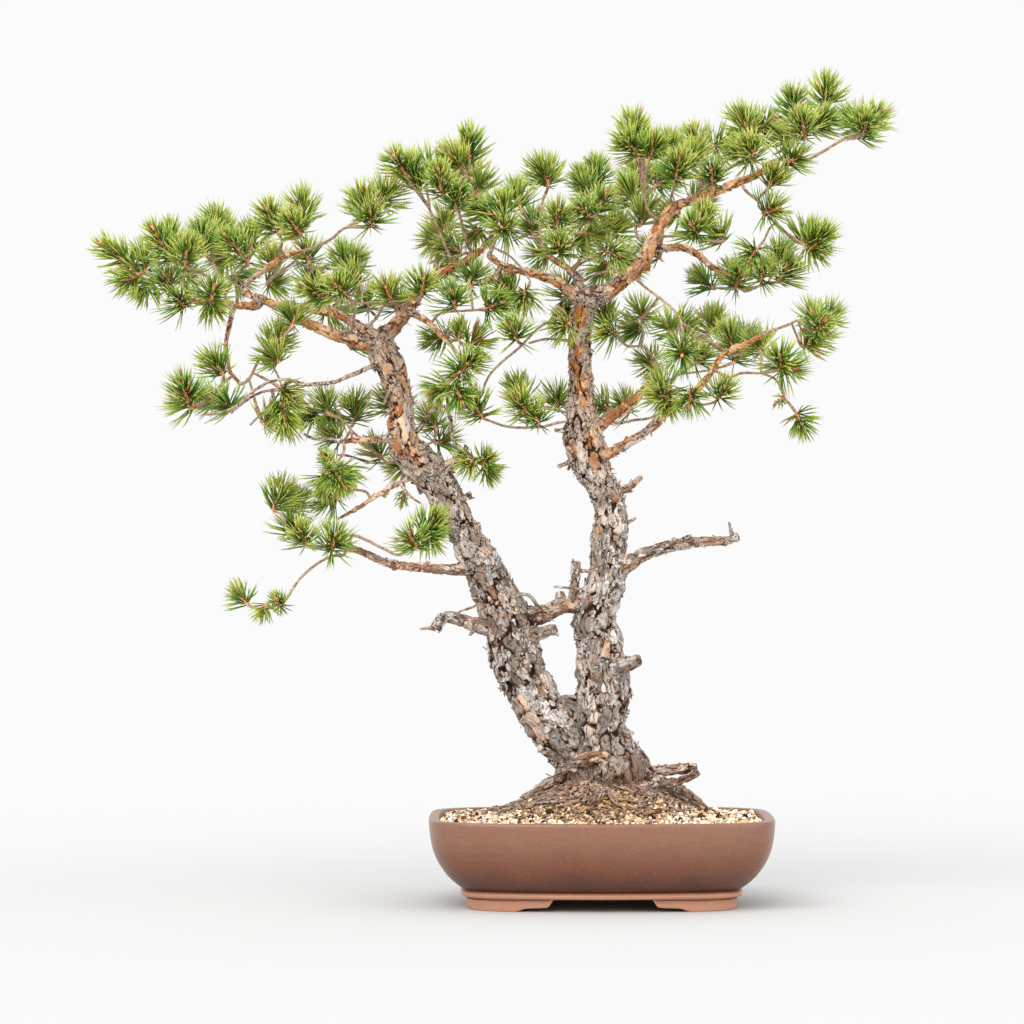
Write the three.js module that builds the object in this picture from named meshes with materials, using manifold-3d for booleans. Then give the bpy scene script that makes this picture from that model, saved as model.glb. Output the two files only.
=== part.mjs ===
// Scots pine bonsai in an unglazed pot. Millimetres, +Z up, the tree's front faces -Y.
import * as THREE from "three";
import { mergeVertices } from "three/addons/utils/BufferGeometryUtils.js";
import Module from "manifold-3d";

const wasm = await Module();
wasm.setup();

// Driving dimensions of the pot and soil
const rimHalfLength = 206.5;
const rimHalfDepth = 165;
const potHeight = 104;
const footHeight = 15.4;
const bandTop = 24.5;
const floorTop = 27.5;
const rimThickness = 12;
const cornerPower = 6;
const longSideBow = 0.2;
const shortSideBow = 0.02;
const outlineTurns = [0, 5, 25, 45, 65, 85];
const footInset = 41.5;
const footWidth = 16;
const footGapHalf = 60;
const footGapCurl = 34;
const sideGapHalf = 30;
const sideGapCurl = 18;
const drainHoleRadius = 11;
const drainHoleX = 85;
const screenSize = 40;
const screenThickness = 1.6;
const screenBar = 3;
const soilEdge = 98;
const moundRise = 52;
const moundSpread = 0.62;
const moundShoulder = 2.6;
const grainRelief = 2.2;
const soilClearance = 0.35;
const woodHoleClearance = 0.45;

// Driving dimensions of the tree
const seatGap = 0.3;
const trunkSides = 10;
const rootSides = 5;
const ringStep = 18;
const barkRelief = 0.085;
const rootRelief = 0.1;
const shootSides = 3;
const shootRadius = 1.35;
const coreRadius = 1.9;
const leastShoot = 16;
const leastStretch = 5;
const whorlHeight = 2.8;
const budLength = 5;
const budPoint = 0.4;
const needleLength = 34;
const needleFoot = 1.3;
const needlePoint = 0.15;
const budNeedleShare = 0.82;
const budLean = 42;
const whorlLeans = [66, 92];
const leanScatter = 10;
const clearance = 0.5;
const woodClearance = 0.9;
const meshTolerance = 0.01;

// The reference view: a level eye 5.27 m in front of the pot. Routes below are given in units of
// that view (x to the right, y down, 1.2 mm a unit at the trunk) with a depth in mm (+ is behind).
const unitSize = 1.2;
const depthSpread = 1.3;
const eyeDistance = 5274;
const eyeX = -106.8;
const eyeHeight = 470;
const viewCentre = 512;

// Each trunk: [x, y, half-width], with its depth at the foot and at the top
const trunkRoutes = {
  leftTrunk: {
    depths: [0, 12],
    points: [[600, 838, 17], [599, 815, 29], [592, 790, 31], [582, 768, 31], [568, 750, 29],
      [553, 730, 26], [541, 710, 24], [530, 685, 23.5], [519, 656, 26], [513, 627, 26],
      [504, 606, 24], [488, 572, 22], [466, 526, 17.5], [439, 480, 18], [417, 461, 18],
      [405, 447, 15], [402, 430, 12], [402, 405, 11], [398, 388, 11], [391, 370, 13],
      [383, 350, 13], [379, 341, 9]],
  },
  rightTrunk: {
    depths: [0, -5],
    points: [[606, 838, 19], [607, 815, 31], [612, 790, 37], [612, 768, 37], [608, 750, 31],
      [603, 730, 28], [601, 710, 27], [605, 687, 26], [602, 664, 24], [601, 641, 22],
      [598, 618, 20], [602, 592, 19], [609, 568, 17.5], [609, 549, 16.5], [611, 520, 16],
      [608, 498, 16], [600, 480, 16.5], [592, 468, 18], [586, 454, 18.5], [582, 432, 17.5],
      [582, 414, 14], [581, 394, 12], [580, 370, 10.5], [580, 342, 10.5], [582, 316, 11.5],
      [587, 301, 8.5]],
  },
};

// Roots: [points, depth at the start, depth at the end, start radius, end radius]
const rootRoutes = [
  [[[622, 775], [650, 772], [676, 771], [699, 769]], -6, -24, 9, 5.5],
  [[[616, 792], [652, 788], [682, 784], [700, 796], [712, 808]], -22, -58, 7, 3],
  [[[592, 776], [566, 779], [545, 784], [527, 790]], -4, -20, 7, 4.5],
  [[[594, 786], [566, 790], [545, 798], [522, 806]], -20, -70, 6, 3],
  [[[566, 765], [590, 757], [615, 753], [640, 752]], -24, -26, 5.5, 4.5],
  [[[604, 784], [600, 792], [590, 802]], -18, -86, 7, 3.2],
  [[[590, 778], [566, 782], [548, 786]], 16, 84, 7, 3.2],
  [[[612, 782], [636, 780], [668, 784]], 18, 92, 7.5, 3.2],
  [[[556, 726], [568, 717], [580, 726]], 8, 4, 17, 17],
];

// Limbs and dead wood: [name, parent, points, depth at the end, start radius, end radius]
const limbRoutes = [
  ["limbA", "leftTrunk", [[366, 343], [332, 334], [304, 321], [290, 312], [246, 293]], -10, 6.5, 4.3],
  ["limbAUpper", "leftTrunk", [[368, 332], [340, 315], [316, 310], [282, 306]], -4, 5.2, 4],
  ["limbAFar", "limbA", [[256, 305], [232, 305], [204, 303], [190, 300]], -25, 4.4, 2.4],
  ["limbTwist", "limbA", [[243, 287], [253, 278], [266, 268], [285, 256], [300, 252]], 15, 3.2, 2.1],
  ["limbHang", "limbAFar", [[232, 312], [228, 332], [226, 348], [230, 371], [239, 383]], -40, 2.6, 1.9],
  ["deadD", "leftTrunk", [[368, 368], [357, 373], [346, 377], [335, 382], [304, 385]], -60, 2.4, 1.8],
  ["deadDUp", "deadD", [[290, 380], [272, 381], [254, 391], [231, 409], [204, 415]], -85, 1.7, 1.2],
  ["deadDLow", "deadD", [[290, 389], [266, 391], [250, 398], [231, 413]], -35, 1.6, 1.2],
  ["limbP", "leftTrunk", [[387, 334], [408, 310], [418, 295], [433, 279], [466, 261], [480, 251],
    [489, 240]], 46, 7, 3],
  ["limbR", "limbP", [[416, 315], [428, 322], [441, 335], [450, 344]], -25, 3.6, 2.3],
  ["limbE", "leftTrunk", [[391, 439], [374, 439], [357, 440], [340, 441]], -30, 4.2, 2.2],
  ["deadE", "limbE", [[329, 439], [315, 439], [304, 434]], -46, 1.9, 1.2],
  ["deadV", "leftTrunk", [[418, 430], [427, 416], [438, 407], [445, 407], [451, 420], [453, 441],
    [461, 447]], -26, 2.6, 1.3],
  ["stubV", "leftTrunk", [[447, 468], [458, 458], [467, 447]], -12, 8, 2.6],
  ["limbF", "leftTrunk", [[408, 478], [395, 485], [376, 496], [358, 508], [338, 519]], -22, 3, 1.5],
  ["deadF", "limbF", [[402, 486], [410, 496], [420, 503]], -40, 1.5, 1.1],
  ["limbM", "leftTrunk", [[463, 570], [413, 567], [391, 564], [354, 549], [341, 545]], -45, 5.2, 3],
  ["stubLeft", "leftTrunk", [[485, 626], [462, 620], [444, 617], [438, 624], [436, 629]], -14, 7, 5],
  ["stubLeftTip", "stubLeft", [[430, 628], [420, 629]], -16, 1.7, 1.1],
  ["crossStub", "leftTrunk", [[522, 619], [547, 612], [565, 605], [590, 607]], 0, 8, 7.5],
  ["crossArch", "crossStub", [[538, 608], [531, 597], [519, 594], [506, 600]], -6, 1.9, 1.8],
  ["shortStub", "leftTrunk", [[540, 633], [555, 629]], -22, 6, 5.2],
  ["risingStub", "crossStub", [[574, 598], [575, 580], [576, 562]], -10, 4.6, 5],
  ["risingTwig", "risingStub", [[580, 571], [596, 571]], -6, 1.7, 1.6],
  ["deadRight", "rightTrunk", [[626, 564], [648, 553], [675, 545], [727, 540], [738, 536]], -52, 7.5, 3.8],
  ["deadRightTip", "deadRight", [[732, 535], [729, 523]], -50, 1.9, 1.2],
  ["stubRight", "rightTrunk", [[620, 666], [639, 661]], -26, 7, 6],
  ["stubUpper", "rightTrunk", [[616, 493], [630, 486], [641, 477]], -14, 4.6, 2.6],
  ["stubLeftHigh", "leftTrunk", [[458, 500], [471, 496]], -8, 4.6, 2.8],
  ["limbC", "rightTrunk", [[579, 300], [565, 287], [554, 280], [530, 273], [503, 266],
    [490, 257]], -40, 5.8, 3],
  ["deadC", "limbC", [[496, 274], [486, 281], [473, 283]], -20, 2.4, 1.4],
  ["limbMid", "rightTrunk", [[586, 297], [580, 285], [575, 275], [567, 268], [556, 261],
    [546, 253]], 30, 4.6, 2.6],
  ["limbRight", "rightTrunk", [[598, 295], [615, 286], [636, 269], [650, 246], [657, 230], [665, 217],
    [677, 206], [700, 197], [740, 182], [760, 173], [775, 163]], 0, 8.5, 2.6],
  ["limbS", "limbRight", [[662, 248], [680, 247], [695, 253], [711, 266], [728, 276],
    [744, 289]], 30, 4, 2.9],
  ["limbB", "rightTrunk", [[596, 426], [618, 413], [628, 406], [646, 387], [653, 377],
    [655, 368]], 36, 6.2, 3],
  ["limbK", "rightTrunk", [[601, 457], [628, 443], [642, 434], [677, 406], [698, 388], [712, 372],
    [727, 352], [762, 334]], -72, 5, 2],
];

// Sprays: [name, parent, stem points, depth at the stem's end, stem radius, shoots].
// Shoot: [foot x, foot y, tip x, tip y, foot depth, tip depth, points on the way]. The first one
// carries on from the stem's end, and a null there leaves the stem a bare end.
const sprayRoutes = [
  ["far_left_tip", "limbAFar", [[176, 296], [158, 278], [141, 273]], -35, 1.9, [
    [135, 268, 100, 241, -40, -56], [140, 262, 136, 240, 8, 26], [168, 287, 155, 277, -64, -80],
    [128, 280, 107, 290, -58, -64]]],
  ["far_left_front", "limbAFar", [[217, 292], [213, 282], [200, 272]], -70, 1.7, [
    [172, 256, 151, 221, -84, -104, [[186, 264]]], [182, 258, 187, 231, -98, -122],
    [176, 250, 173, 215, -46, -36]]],
  ["far_left_back", "limbAFar", [[225, 295], [219, 278], [212, 262]], 60, 1.7, [
    [212, 245, 212, 222, 76, 88], [214, 225, 213, 202, 114, 130]]],
  ["left_middle", "limbAFar", [[237, 295], [236, 283], [239, 272]], -50, 1.7, [
    [240, 257, 227, 221, -72, -100], [247, 247, 249, 220, 96, 116, [[246, 264]]],
    [228, 230, 229, 208, 142, 160, [[242, 250]]]]],
  ["left_low", "limbAFar", [[208, 297], [198, 296]], -62, 1.5, [
    [184, 300, 176, 290, -72, -86], [204, 311, 207, 325, -40, -50]]],
  ["twist_side", "limbTwist", [[281, 250], [282, 240]], -24, 1.6, [
    [275, 230, 263, 204, -32, -54], [296, 226, 283, 208, -70, -92],
    [304, 217, 302, 187, -12, -6]]],
  ["twist_tip", "limbTwist", [[315, 247], [330, 240], [345, 228]], 0, 1.7, [
    [362, 224, 355, 209, -24, -44], [371, 212, 368, 186, 6, 10], [386, 200, 392, 174, 36, 46]]],
  ["twist_back", "limbTwist", [[296, 261], [312, 268], [328, 268]], 96, 1.6, [
    [345, 266, 352, 243, 116, 136], [356, 260, 370, 246, 84, 74]]],
  ["hang_left", "limbHang", [[222, 384], [211, 398]], -56, 1.6, [
    [190, 407, 173, 399, -66, -76], [190, 396, 180, 373, -88, -110],
    [222, 370, 208, 352, -62, -70]]],
  ["hang_right", "limbHang", [[249, 379], [260, 359]], -34, 1.6, [
    [273, 347, 283, 320, -26, -14], [287, 400, 293, 432, -52, -64, [[272, 366], [281, 384]]]]],
  ["limb_p_tip", "limbP", [[495, 228]], 44, 1.7, [
    [494, 217, 481, 190, 38, 22], [480, 186, 482, 166, 92, 104, [[490, 212]]]]],
  ["limb_p_up", "limbP", [[468, 246], [463, 228], [459, 208]], 14, 1.8, [
    [467, 160, 467, 128, 28, 24, [[462, 184]]], [456, 206, 461, 184, -24, -50],
    [443, 195, 438, 168, -32, -56], [457, 164, 447, 142, 8, 0]]],
  ["limb_p_left", "limbP", [[448, 252], [441, 236], [430, 210]], 32, 1.7, [
    [420, 188, 413, 158, 24, 14], [403, 172, 391, 152, 8, -4], [434, 167, 432, 144, 72, 88]]],
  ["limb_p_back", "limbP", [[436, 262], [440, 248]], 108, 1.6, [
    [442, 236, 420, 238, 122, 128], [440, 226, 428, 212, 152, 168]]],
  ["limb_p_low", "limbP", [[404, 302], [394, 300]], -14, 1.5, [
    [386, 292, 384, 276, -26, -34], [417, 292, 420, 274, -48, -66, [[410, 300]]],
    [392, 302, 388, 288, 44, 62]]],
  ["limb_p_hang", "limbP", [[402, 306], [388, 303], [374, 302], [356, 304]], -46, 1.6, [
    [332, 296, 313, 275, -62, -84, [[344, 302]]], [341, 292, 339, 275, -78, -100],
    [358, 288, 353, 270, 6, 24]]],
  ["limb_r_side", "limbR", [[446, 331], [454, 337]], 18, 1.5, [
    [458, 334, 458, 313, 30, 44], [447, 338, 426, 341, 44, 58], [468, 342, 483, 335, -4, -8]]],
  ["limb_r_tip", "limbR", [[458, 354], [463, 362]], -44, 1.5, [
    [470, 364, 482, 357, -54, -66], [462, 370, 452, 376, -66, -84],
    [461, 386, 461, 406, -78, -88]]],
  ["limb_r_right", "limbR", [[441, 313], [462, 311], [476, 310]], -34, 1.5, [
    [489, 305, 503, 293, -46, -64], [455, 306, 453, 290, -42, -58],
    [516, 306, 504, 286, -14, -22, [[500, 310]]]]],
  ["limb_c_tip", "limbC", [[493, 247], [497, 236]], -46, 1.6, [
    [502, 214, 506, 196, -44, -48], [534, 294, 538, 308, -56, -72, [[512, 258], [530, 281]]]]],
  ["middle_high", "limbMid", [[541, 241], [540, 222], [543, 200]], 58, 1.7, [
    [544, 178, 532, 158, 62, 56], [551, 182, 552, 158, 84, 98],
    [507, 230, 500, 226, -42, -78, [[530, 238], [518, 232]]],
    [520, 200, 515, 176, 10, 22, [[530, 222]]]]],
  ["middle_right", "limbMid", [[556, 243], [568, 234]], 0, 1.6, [
    [583, 222, 581, 207, -30, -52], [563, 226, 549, 206, -36, -60], [593, 212, 604, 189, -8, -18]]],
  ["middle_back", "limbMid", [[581, 258], [588, 228]], 96, 1.7, [
    [586, 184, 574, 160, 122, 138, [[588, 204]]], [600, 176, 594, 150, 146, 164, [[592, 206]]]]],
  ["middle_low", "limbMid", [[579, 265], [592, 258]], -44, 1.5, [
    [611, 254, 623, 243, -56, -74], [569, 247, 567, 236, -58, -92, [[576, 256]]]]],
  ["right_tall_front", "limbRight", [[650, 214], [643, 190]], -16, 1.8, [
    [636, 150, 618, 133, -36, -60, [[640, 168]]], [635, 137, 633, 114, -8, -6, [[640, 168]]],
    [649, 154, 658, 134, -14, -22]]],
  ["right_tall_back", "limbRight", [[638, 238], [635, 216]], 72, 1.7, [
    [633, 200, 624, 172, 92, 108], [641, 184, 645, 160, 128, 146],
    [660, 184, 666, 160, 108, 126]]],
  ["right_up_left", "limbRight", [[671, 200], [674, 188]], -46, 1.6, [
    [676, 174, 671, 150, -58, -82], [688, 168, 691, 138, -30, -22], [672, 150, 666, 126, 4, 16]]],
  ["right_up", "limbRight", [[702, 184], [704, 170]], 6, 1.6, [
    [705, 150, 703, 122, 24, 34], [713, 182, 711, 166, -50, -68]]],
  ["right_short", "limbRight", [[662, 236], [680, 236], [690, 238]], -84, 1.6, [
    [701, 236, 703, 222, -96, -120], [708, 222, 708, 204, -86, -102]]],
  ["right_over", "limbRight", [[751, 164], [750, 150]], -16, 1.6, [
    [745, 128, 735, 104, -20, -16], [748, 158, 731, 136, -54, -82],
    [753, 134, 758, 108, 42, 60]]],
  ["right_top", "limbRight", [[787, 153], [796, 140]], -6, 1.8, [
    [801, 126, 796, 101, -28, -46], [794, 116, 793, 84, 8, 6],
    [814, 128, 822, 103, 30, 22], [826, 98, 830, 70, 60, 62, [[814, 126]]]]],
  ["right_far", "limbRight", [[775, 176], [790, 170], [822, 152], [845, 138]], 14, 1.8, [
    [862, 127, 859, 106, 44, 60], [876, 119, 889, 102, 14, 8, [[862, 130]]],
    [868, 130, 874, 114, -20, -42], [786, 172, 800, 164, -26, -38]]],
  ["right_inner", "limbRight", [[745, 190], [757, 200], [770, 214], [785, 232]], -44, 1.6, [
    [803, 238, 815, 226, -40, -34], [818, 243, 834, 224, -62, -82, [[800, 242]]],
    [806, 246, 823, 253, -58, -58], [768, 213, 780, 202, -62, -76],
    [757, 250, 744, 250, -72, -86, [[770, 228], [764, 240]]]]],
  ["right_low_right", "limbS", [[756, 287], [768, 283]], 16, 1.7, [
    [779, 276, 792, 257, 2, -10], [775, 250, 782, 234, 66, 82], [761, 268, 762, 252, -28, -46]]],
  ["right_low_left", "limbS", [[728, 288], [717, 288]], 58, 1.6, [
    [706, 285, 690, 272, 78, 92], [734, 274, 738, 256, -14, -34]]],
  ["long_thin", "limbMid", [[594, 275], [607, 272], [628, 275], [650, 291], [674, 310],
    [681, 322]], -84, 1.4, [
    [684, 342, 684, 350, -92, -124], [640, 312, 645, 302, -16, 2],
    [737, 342, 740, 320, -34, -28, [[705, 338], [724, 350]]], [750, 342, 756, 322, -8, 2, [[724, 352]]],
    [712, 335, 710, 312, 52, 66, [[696, 338]]]]],
  ["inner_left", "rightTrunk", [[562, 318], [541, 326], [519, 348], [503, 361], [489, 376],
    [482, 393]], -62, 1.5, [
    null, [526, 336, 515, 322, -66, -88], [564, 312, 560, 296, 26, 44]]],
  ["lower_left_twig", "rightTrunk", [[562, 422], [540, 427], [509, 427], [490, 421]], -48, 1.5, [
    [477, 412, 466, 394, -56, -72], [525, 419, 515, 404, -56, -76]]],
  ["upper_left_twig", "rightTrunk", [[565, 412], [551, 407], [532, 406]], 28, 1.4, [
    [521, 396, 512, 376, 36, 40], [553, 400, 553, 383, 38, 48]]],
  ["limb_b_side", "limbB", [[607, 414], [610, 408]], 44, 1.5, [
    [605, 402, 600, 386, 54, 68], [624, 400, 624, 384, 84, 100]]],
  ["limb_b_tip", "limbB", [[653, 358], [643, 347], [627, 346]], 12, 1.6, [
    [612, 333, 598, 334, -18, -34], [612, 326, 612, 308, 8, 16], [648, 362, 636, 358, 78, 92]]],
  ["limb_b_right", "limbB", [[665, 381], [680, 374]], 38, 1.5, [
    [699, 360, 706, 347, 34, 22], [733, 362, 742, 370, 58, 68, [[710, 370]]]]],
  ["limb_k_tip", "limbK", [[785, 326], [800, 320]], -80, 1.6, [
    [828, 314, 838, 300, -76, -70], [811, 325, 821, 311, -98, -122], [806, 314, 804, 302, -62, -50],
    [804, 350, 811, 336, -48, -56, [[796, 334]]]]],
  ["limb_k_low", "limbK", [[728, 377], [742, 373], [762, 373]], -96, 1.6, [
    [780, 371, 794, 365, -108, -124], [776, 358, 774, 344, -122, -146],
    [794, 414, 800, 432, -88, -96, [[776, 380], [785, 398]]],
    [782, 398, 774, 407, -66, -58, [[776, 380]]]]],
  ["limb_k_side", "limbK", [[700, 404], [712, 403]], -82, 1.5, [
    [722, 394, 730, 380, -92, -108]]],
  ["limb_k_left", "limbK", [[682, 395], [674, 392]], -30, 1.5, [
    [668, 392, 652, 388, -18, -8], [668, 405, 672, 421, -70, -84]]],
  ["limb_e_up", "limbE", [[351, 430], [340, 418]], 8, 1.5, [
    [331, 408, 327, 391, 22, 32], [355, 414, 358, 388, 50, 64], [338, 446, 318, 447, 30, 44]]],
  ["limb_e_down", "limbE", [[344, 451], [336, 464]], -52, 1.6, [
    [333, 476, 332, 492, -58, -68], [345, 466, 356, 478, -24, -14], [326, 468, 314, 478, -84, -100],
    [340, 478, 350, 494, -92, -108],
    [343, 486, 330, 480, 6, 20]]],
  ["trunk_left_high", "leftTrunk", [[396, 420], [392, 414]], 40, 1.5, [
    [388, 406, 376, 394, 50, 62], [398, 396, 400, 380, 84, 98]]],
  ["trunk_left_back", "leftTrunk", [[408, 470], [402, 474]], 46, 1.5, [
    [396, 474, 382, 470, 52, 60], [404, 490, 400, 506, 84, 96]]],
  ["trunk_right_back", "leftTrunk", [[424, 446], [434, 440]], 56, 1.5, [
    [436, 430, 438, 414, 62, 76], [448, 437, 462, 432, 74, 88]]],
  ["trunk_star", "stubV", [[472, 456], [477, 460]], -26, 1.5, [
    [483, 461, 491, 453, -36, -56], [474, 466, 466, 476, -44, -54]]],
  ["low_left_tip", "limbM", [[328, 546], [317, 548], [306, 546]], -48, 1.7, [
    [300, 540, 293, 526, -56, -72], [333, 541, 338, 524, -74, -98, [[328, 544]]],
    [282, 500, 296, 476, -20, -12, [[288, 532], [281, 514]]],
    [286, 512, 304, 500, 20, 36, [[290, 530]]]]],
  ["low_left_hang", "limbM", [[344, 555], [332, 556], [314, 566], [299, 580], [288, 596]], -92, 1.6, [
    [280, 605, 275, 596, -98, -128], [247, 603, 236, 585, -60, -52, [[274, 606], [259, 609]]],
    [272, 612, 268, 626, -80, -76]]],
  ["low_left_over", "limbM", [[352, 536], [364, 539], [382, 548], [399, 555], [410, 548]], -70, 1.7, [
    [420, 531, 429, 508, -80, -96], [410, 540, 398, 528, -96, -114], [424, 541, 436, 550, -66, -70]]],
];

// Seeded random numbers from 0 to 1
function seededRandom(seed) {
  let state = seed;
  return () => {
    state = (state + 0x6d2b79f5) | 0;
    let mixed = Math.imul(state ^ (state >>> 15), 1 | state);
    mixed = (mixed + Math.imul(mixed ^ (mixed >>> 7), 61 | mixed)) ^ mixed;
    return ((mixed ^ (mixed >>> 14)) >>> 0) / 4294967296;
  };
}

const lerp = THREE.MathUtils.lerp;

// A point of the reference view at a depth, in millimetres
function fromView(x, y, depth) {
  const size = unitSize * (1 + depth / eyeDistance);
  return new THREE.Vector3(eyeX + (x - viewCentre) * size, depth, eyeHeight + (viewCentre - y) * size);
}

// Solids from a list of points and triangles, or from a closed geometry
function solidFrom(points, triangles) {
  const vertProperties = new Float32Array(points.flatMap((point) => [point.x, point.y, point.z]));
  const triVerts = new Uint32Array(triangles.flat());
  return new wasm.Manifold(new wasm.Mesh({ numProp: 3, vertProperties, triVerts }));
}

function solidFromGeometry(geometry) {
  const bare = geometry.clone();
  bare.deleteAttribute("normal");
  bare.deleteAttribute("uv");
  const merged = mergeVertices(bare, 1e-4);
  const vertProperties = new Float32Array(merged.attributes.position.array);
  const triVerts = new Uint32Array(merged.index.array);
  return new wasm.Manifold(new wasm.Mesh({ numProp: 3, vertProperties, triVerts }));
}

// A named mesh with its material; loose scraps smaller than the main body are dropped
function namedMesh(name, solid, color, roughness) {
  const bodies = solid.simplify(meshTolerance).decompose();
  const body = bodies.reduce((best, other) => (other.volume() > best.volume() ? other : best));
  const { vertProperties, triVerts } = body.getMesh();
  const geometry = new THREE.BufferGeometry();
  geometry.setAttribute("position", new THREE.BufferAttribute(new Float32Array(vertProperties), 3));
  geometry.setIndex(new THREE.BufferAttribute(new Uint32Array(triVerts), 1));
  geometry.computeVertexNormals();
  const material = new THREE.MeshStandardMaterial({ color, roughness, metalness: 0 });
  const mesh = new THREE.Mesh(geometry, material);
  mesh.name = name;
  return mesh;
}

// Rings across a path: each ring is turned half a step from the last, so the sides are triangles
function pathRings(points, radii, sides, relief = () => 0, grow = 0) {
  const rings = [];
  let across = new THREE.Vector3(0, 1, 0);
  points.forEach((point, i) => {
    const before = points[Math.max(i - 1, 0)];
    const after = points[Math.min(i + 1, points.length - 1)];
    const along = after.clone().sub(before).normalize();
    across = across.clone().addScaledVector(along, -across.dot(along)).normalize();
    const third = along.clone().cross(across);
    const ring = [];
    for (let j = 0; j < sides; j += 1) {
      const angle = ((j + i / 2) * 2 * Math.PI) / sides;
      const radius = radii[i] * (1 + relief(i, angle)) + grow;
      ring.push(point.clone()
        .addScaledVector(across, radius * Math.cos(angle))
        .addScaledVector(third, radius * Math.sin(angle)));
    }
    rings.push(ring);
  });
  return rings;
}

// Triangles of a tube from its rings, with flat ends
function tubeTriangles(ringCount, sides) {
  const triangles = [];
  for (let i = 0; i + 1 < ringCount; i += 1) {
    for (let j = 0; j < sides; j += 1) {
      const next = (j + 1) % sides;
      const low = i * sides;
      const high = low + sides;
      triangles.push([low + j, low + next, high + j]);
      triangles.push([high + j, low + next, high + next]);
    }
  }
  const last = (ringCount - 1) * sides;
  for (let j = 1; j + 1 < sides; j += 1) {
    triangles.push([0, j + 1, j]);
    triangles.push([last, last + j, last + j + 1]);
  }
  return triangles;
}

function tube(points, radii, sides, relief, grow = 0) {
  const ends = points.map((point) => point.clone());
  const count = points.length;
  ends[0].addScaledVector(points[0].clone().sub(points[1]).normalize(), grow);
  ends[count - 1].addScaledVector(points[count - 1].clone().sub(points[count - 2]).normalize(), grow);
  const rings = pathRings(ends, radii, sides, relief, grow);
  return solidFrom(rings.flat(), tubeTriangles(count, sides));
}

// A point a distance along a path, with the index of the stretch that it is on
function pointAlong(points, distance) {
  let left = distance;
  for (let i = 0; i + 1 < points.length; i += 1) {
    const length = points[i].distanceTo(points[i + 1]);
    if (left <= length || i + 2 === points.length) {
      return { point: points[i].clone().lerp(points[i + 1], Math.min(left / length, 1)), index: i };
    }
    left -= length;
  }
  return { point: points[0].clone(), index: 0 };
}

// Stations of a route keep view x and y, depth and radius; this finds the nearest place on one
function nearestStation(stations, x, y) {
  let best = { gap: Infinity };
  for (let i = 0; i + 1 < stations.length; i += 1) {
    const [a, b] = [stations[i], stations[i + 1]];
    const [dx, dy] = [b.x - a.x, b.y - a.y];
    const along = (x - a.x) * dx + (y - a.y) * dy;
    const t = THREE.MathUtils.clamp(along / (dx ** 2 + dy ** 2 + 1e-9), 0, 1);
    const station = {
      x: lerp(a.x, b.x, t),
      y: lerp(a.y, b.y, t),
      depth: lerp(a.depth, b.depth, t),
      radius: lerp(a.radius, b.radius, t),
    };
    const gap = Math.hypot(x - station.x, y - station.y);
    if (gap < best.gap) best = { ...station, gap, index: i, t };
  }
  return best;
}

// Stations along view points, with depth and radius run evenly from start to end
function stationsAlong(points, startDepth, endDepth, startRadius, endRadius) {
  const lengths = [0];
  for (let i = 1; i < points.length; i += 1) {
    const [dx, dy] = [points[i][0] - points[i - 1][0], points[i][1] - points[i - 1][1]];
    lengths.push(lengths[i - 1] + Math.hypot(dx, dy));
  }
  const total = lengths[lengths.length - 1];
  return points.map(([x, y], i) => {
    const t = lengths[i] / total;
    const radius = unitSize * lerp(startRadius, endRadius, t);
    return { x, y, depth: lerp(startDepth, endDepth, t), radius };
  });
}

const stationPoint = (station) => fromView(station.x, station.y, station.depth);

// Solid pieces that needles keep clear of, in a grid of cells
const cellSize = 25;
const cells = new Map();

function cellKeys(a, b, reach) {
  const keys = [];
  const low = a.clone().min(b).subScalar(reach).divideScalar(cellSize).floor();
  const high = a.clone().max(b).addScalar(reach).divideScalar(cellSize).floor();
  for (let i = low.x; i <= high.x; i += 1) {
    for (let j = low.y; j <= high.y; j += 1) {
      for (let k = low.z; k <= high.z; k += 1) keys.push(`${i},${j},${k}`);
    }
  }
  return keys;
}

function addObstacle(a, b, radiusA, radiusB, node, shoot) {
  const obstacle = { a, b, radiusA, radiusB, node, shoot };
  cellKeys(a, b, Math.max(radiusA, radiusB)).forEach((key) => {
    if (!cells.has(key)) cells.set(key, []);
    cells.get(key).push(obstacle);
  });
}

// The free space between two tapered rods
function freeSpace(a0, a1, ra0, ra1, b0, b1, rb0, rb1) {
  const u = a1.clone().sub(a0);
  const v = b1.clone().sub(b0);
  const w = a0.clone().sub(b0);
  const uu = u.dot(u) + 1e-9;
  const vv = v.dot(v) + 1e-9;
  const uv = u.dot(v);
  const uw = u.dot(w);
  const vw = v.dot(w);
  const clampUnit = (value) => Math.min(Math.max(value, 0), 1);
  let s = clampUnit((uv * vw - vv * uw) / (uu * vv - uv * uv + 1e-9));
  const t = clampUnit((uv * s + vw) / vv);
  s = clampUnit((uv * t - uw) / uu);
  const gap = a0.clone().addScaledVector(u, s).distanceTo(b0.clone().addScaledVector(v, t));
  return gap - lerp(ra0, ra1, s) - lerp(rb0, rb1, t);
}

function isClear(a, b, radiusA, radiusB, node, shoot) {
  const seen = new Set();
  return cellKeys(a, b, 2).every((key) => (cells.get(key) ?? []).every((other) => {
    if (seen.has(other) || other.shoot === shoot) return true;
    seen.add(other);
    const needed = other.node === "wood" ? woodClearance : clearance;
    const space = freeSpace(a, b, radiusA, radiusB, other.a, other.b, other.radiusA, other.radiusB);
    return space > needed;
  }));
}

// Pot wall as [inset from the rim's outline, height]: the outside going up, the inside going down
const outsideProfile = [[42, footHeight], [38.5, 18], [38.5, 21.5], [41, bandTop], [26.5, 35], [12, 53],
  [2.5, 73], [0, 92], [0.5, potHeight], [rimThickness, potHeight]];
const insideProfile = [[13.5, soilEdge], [15.5, 76], [30, 45], [58, floorTop]];

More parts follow.
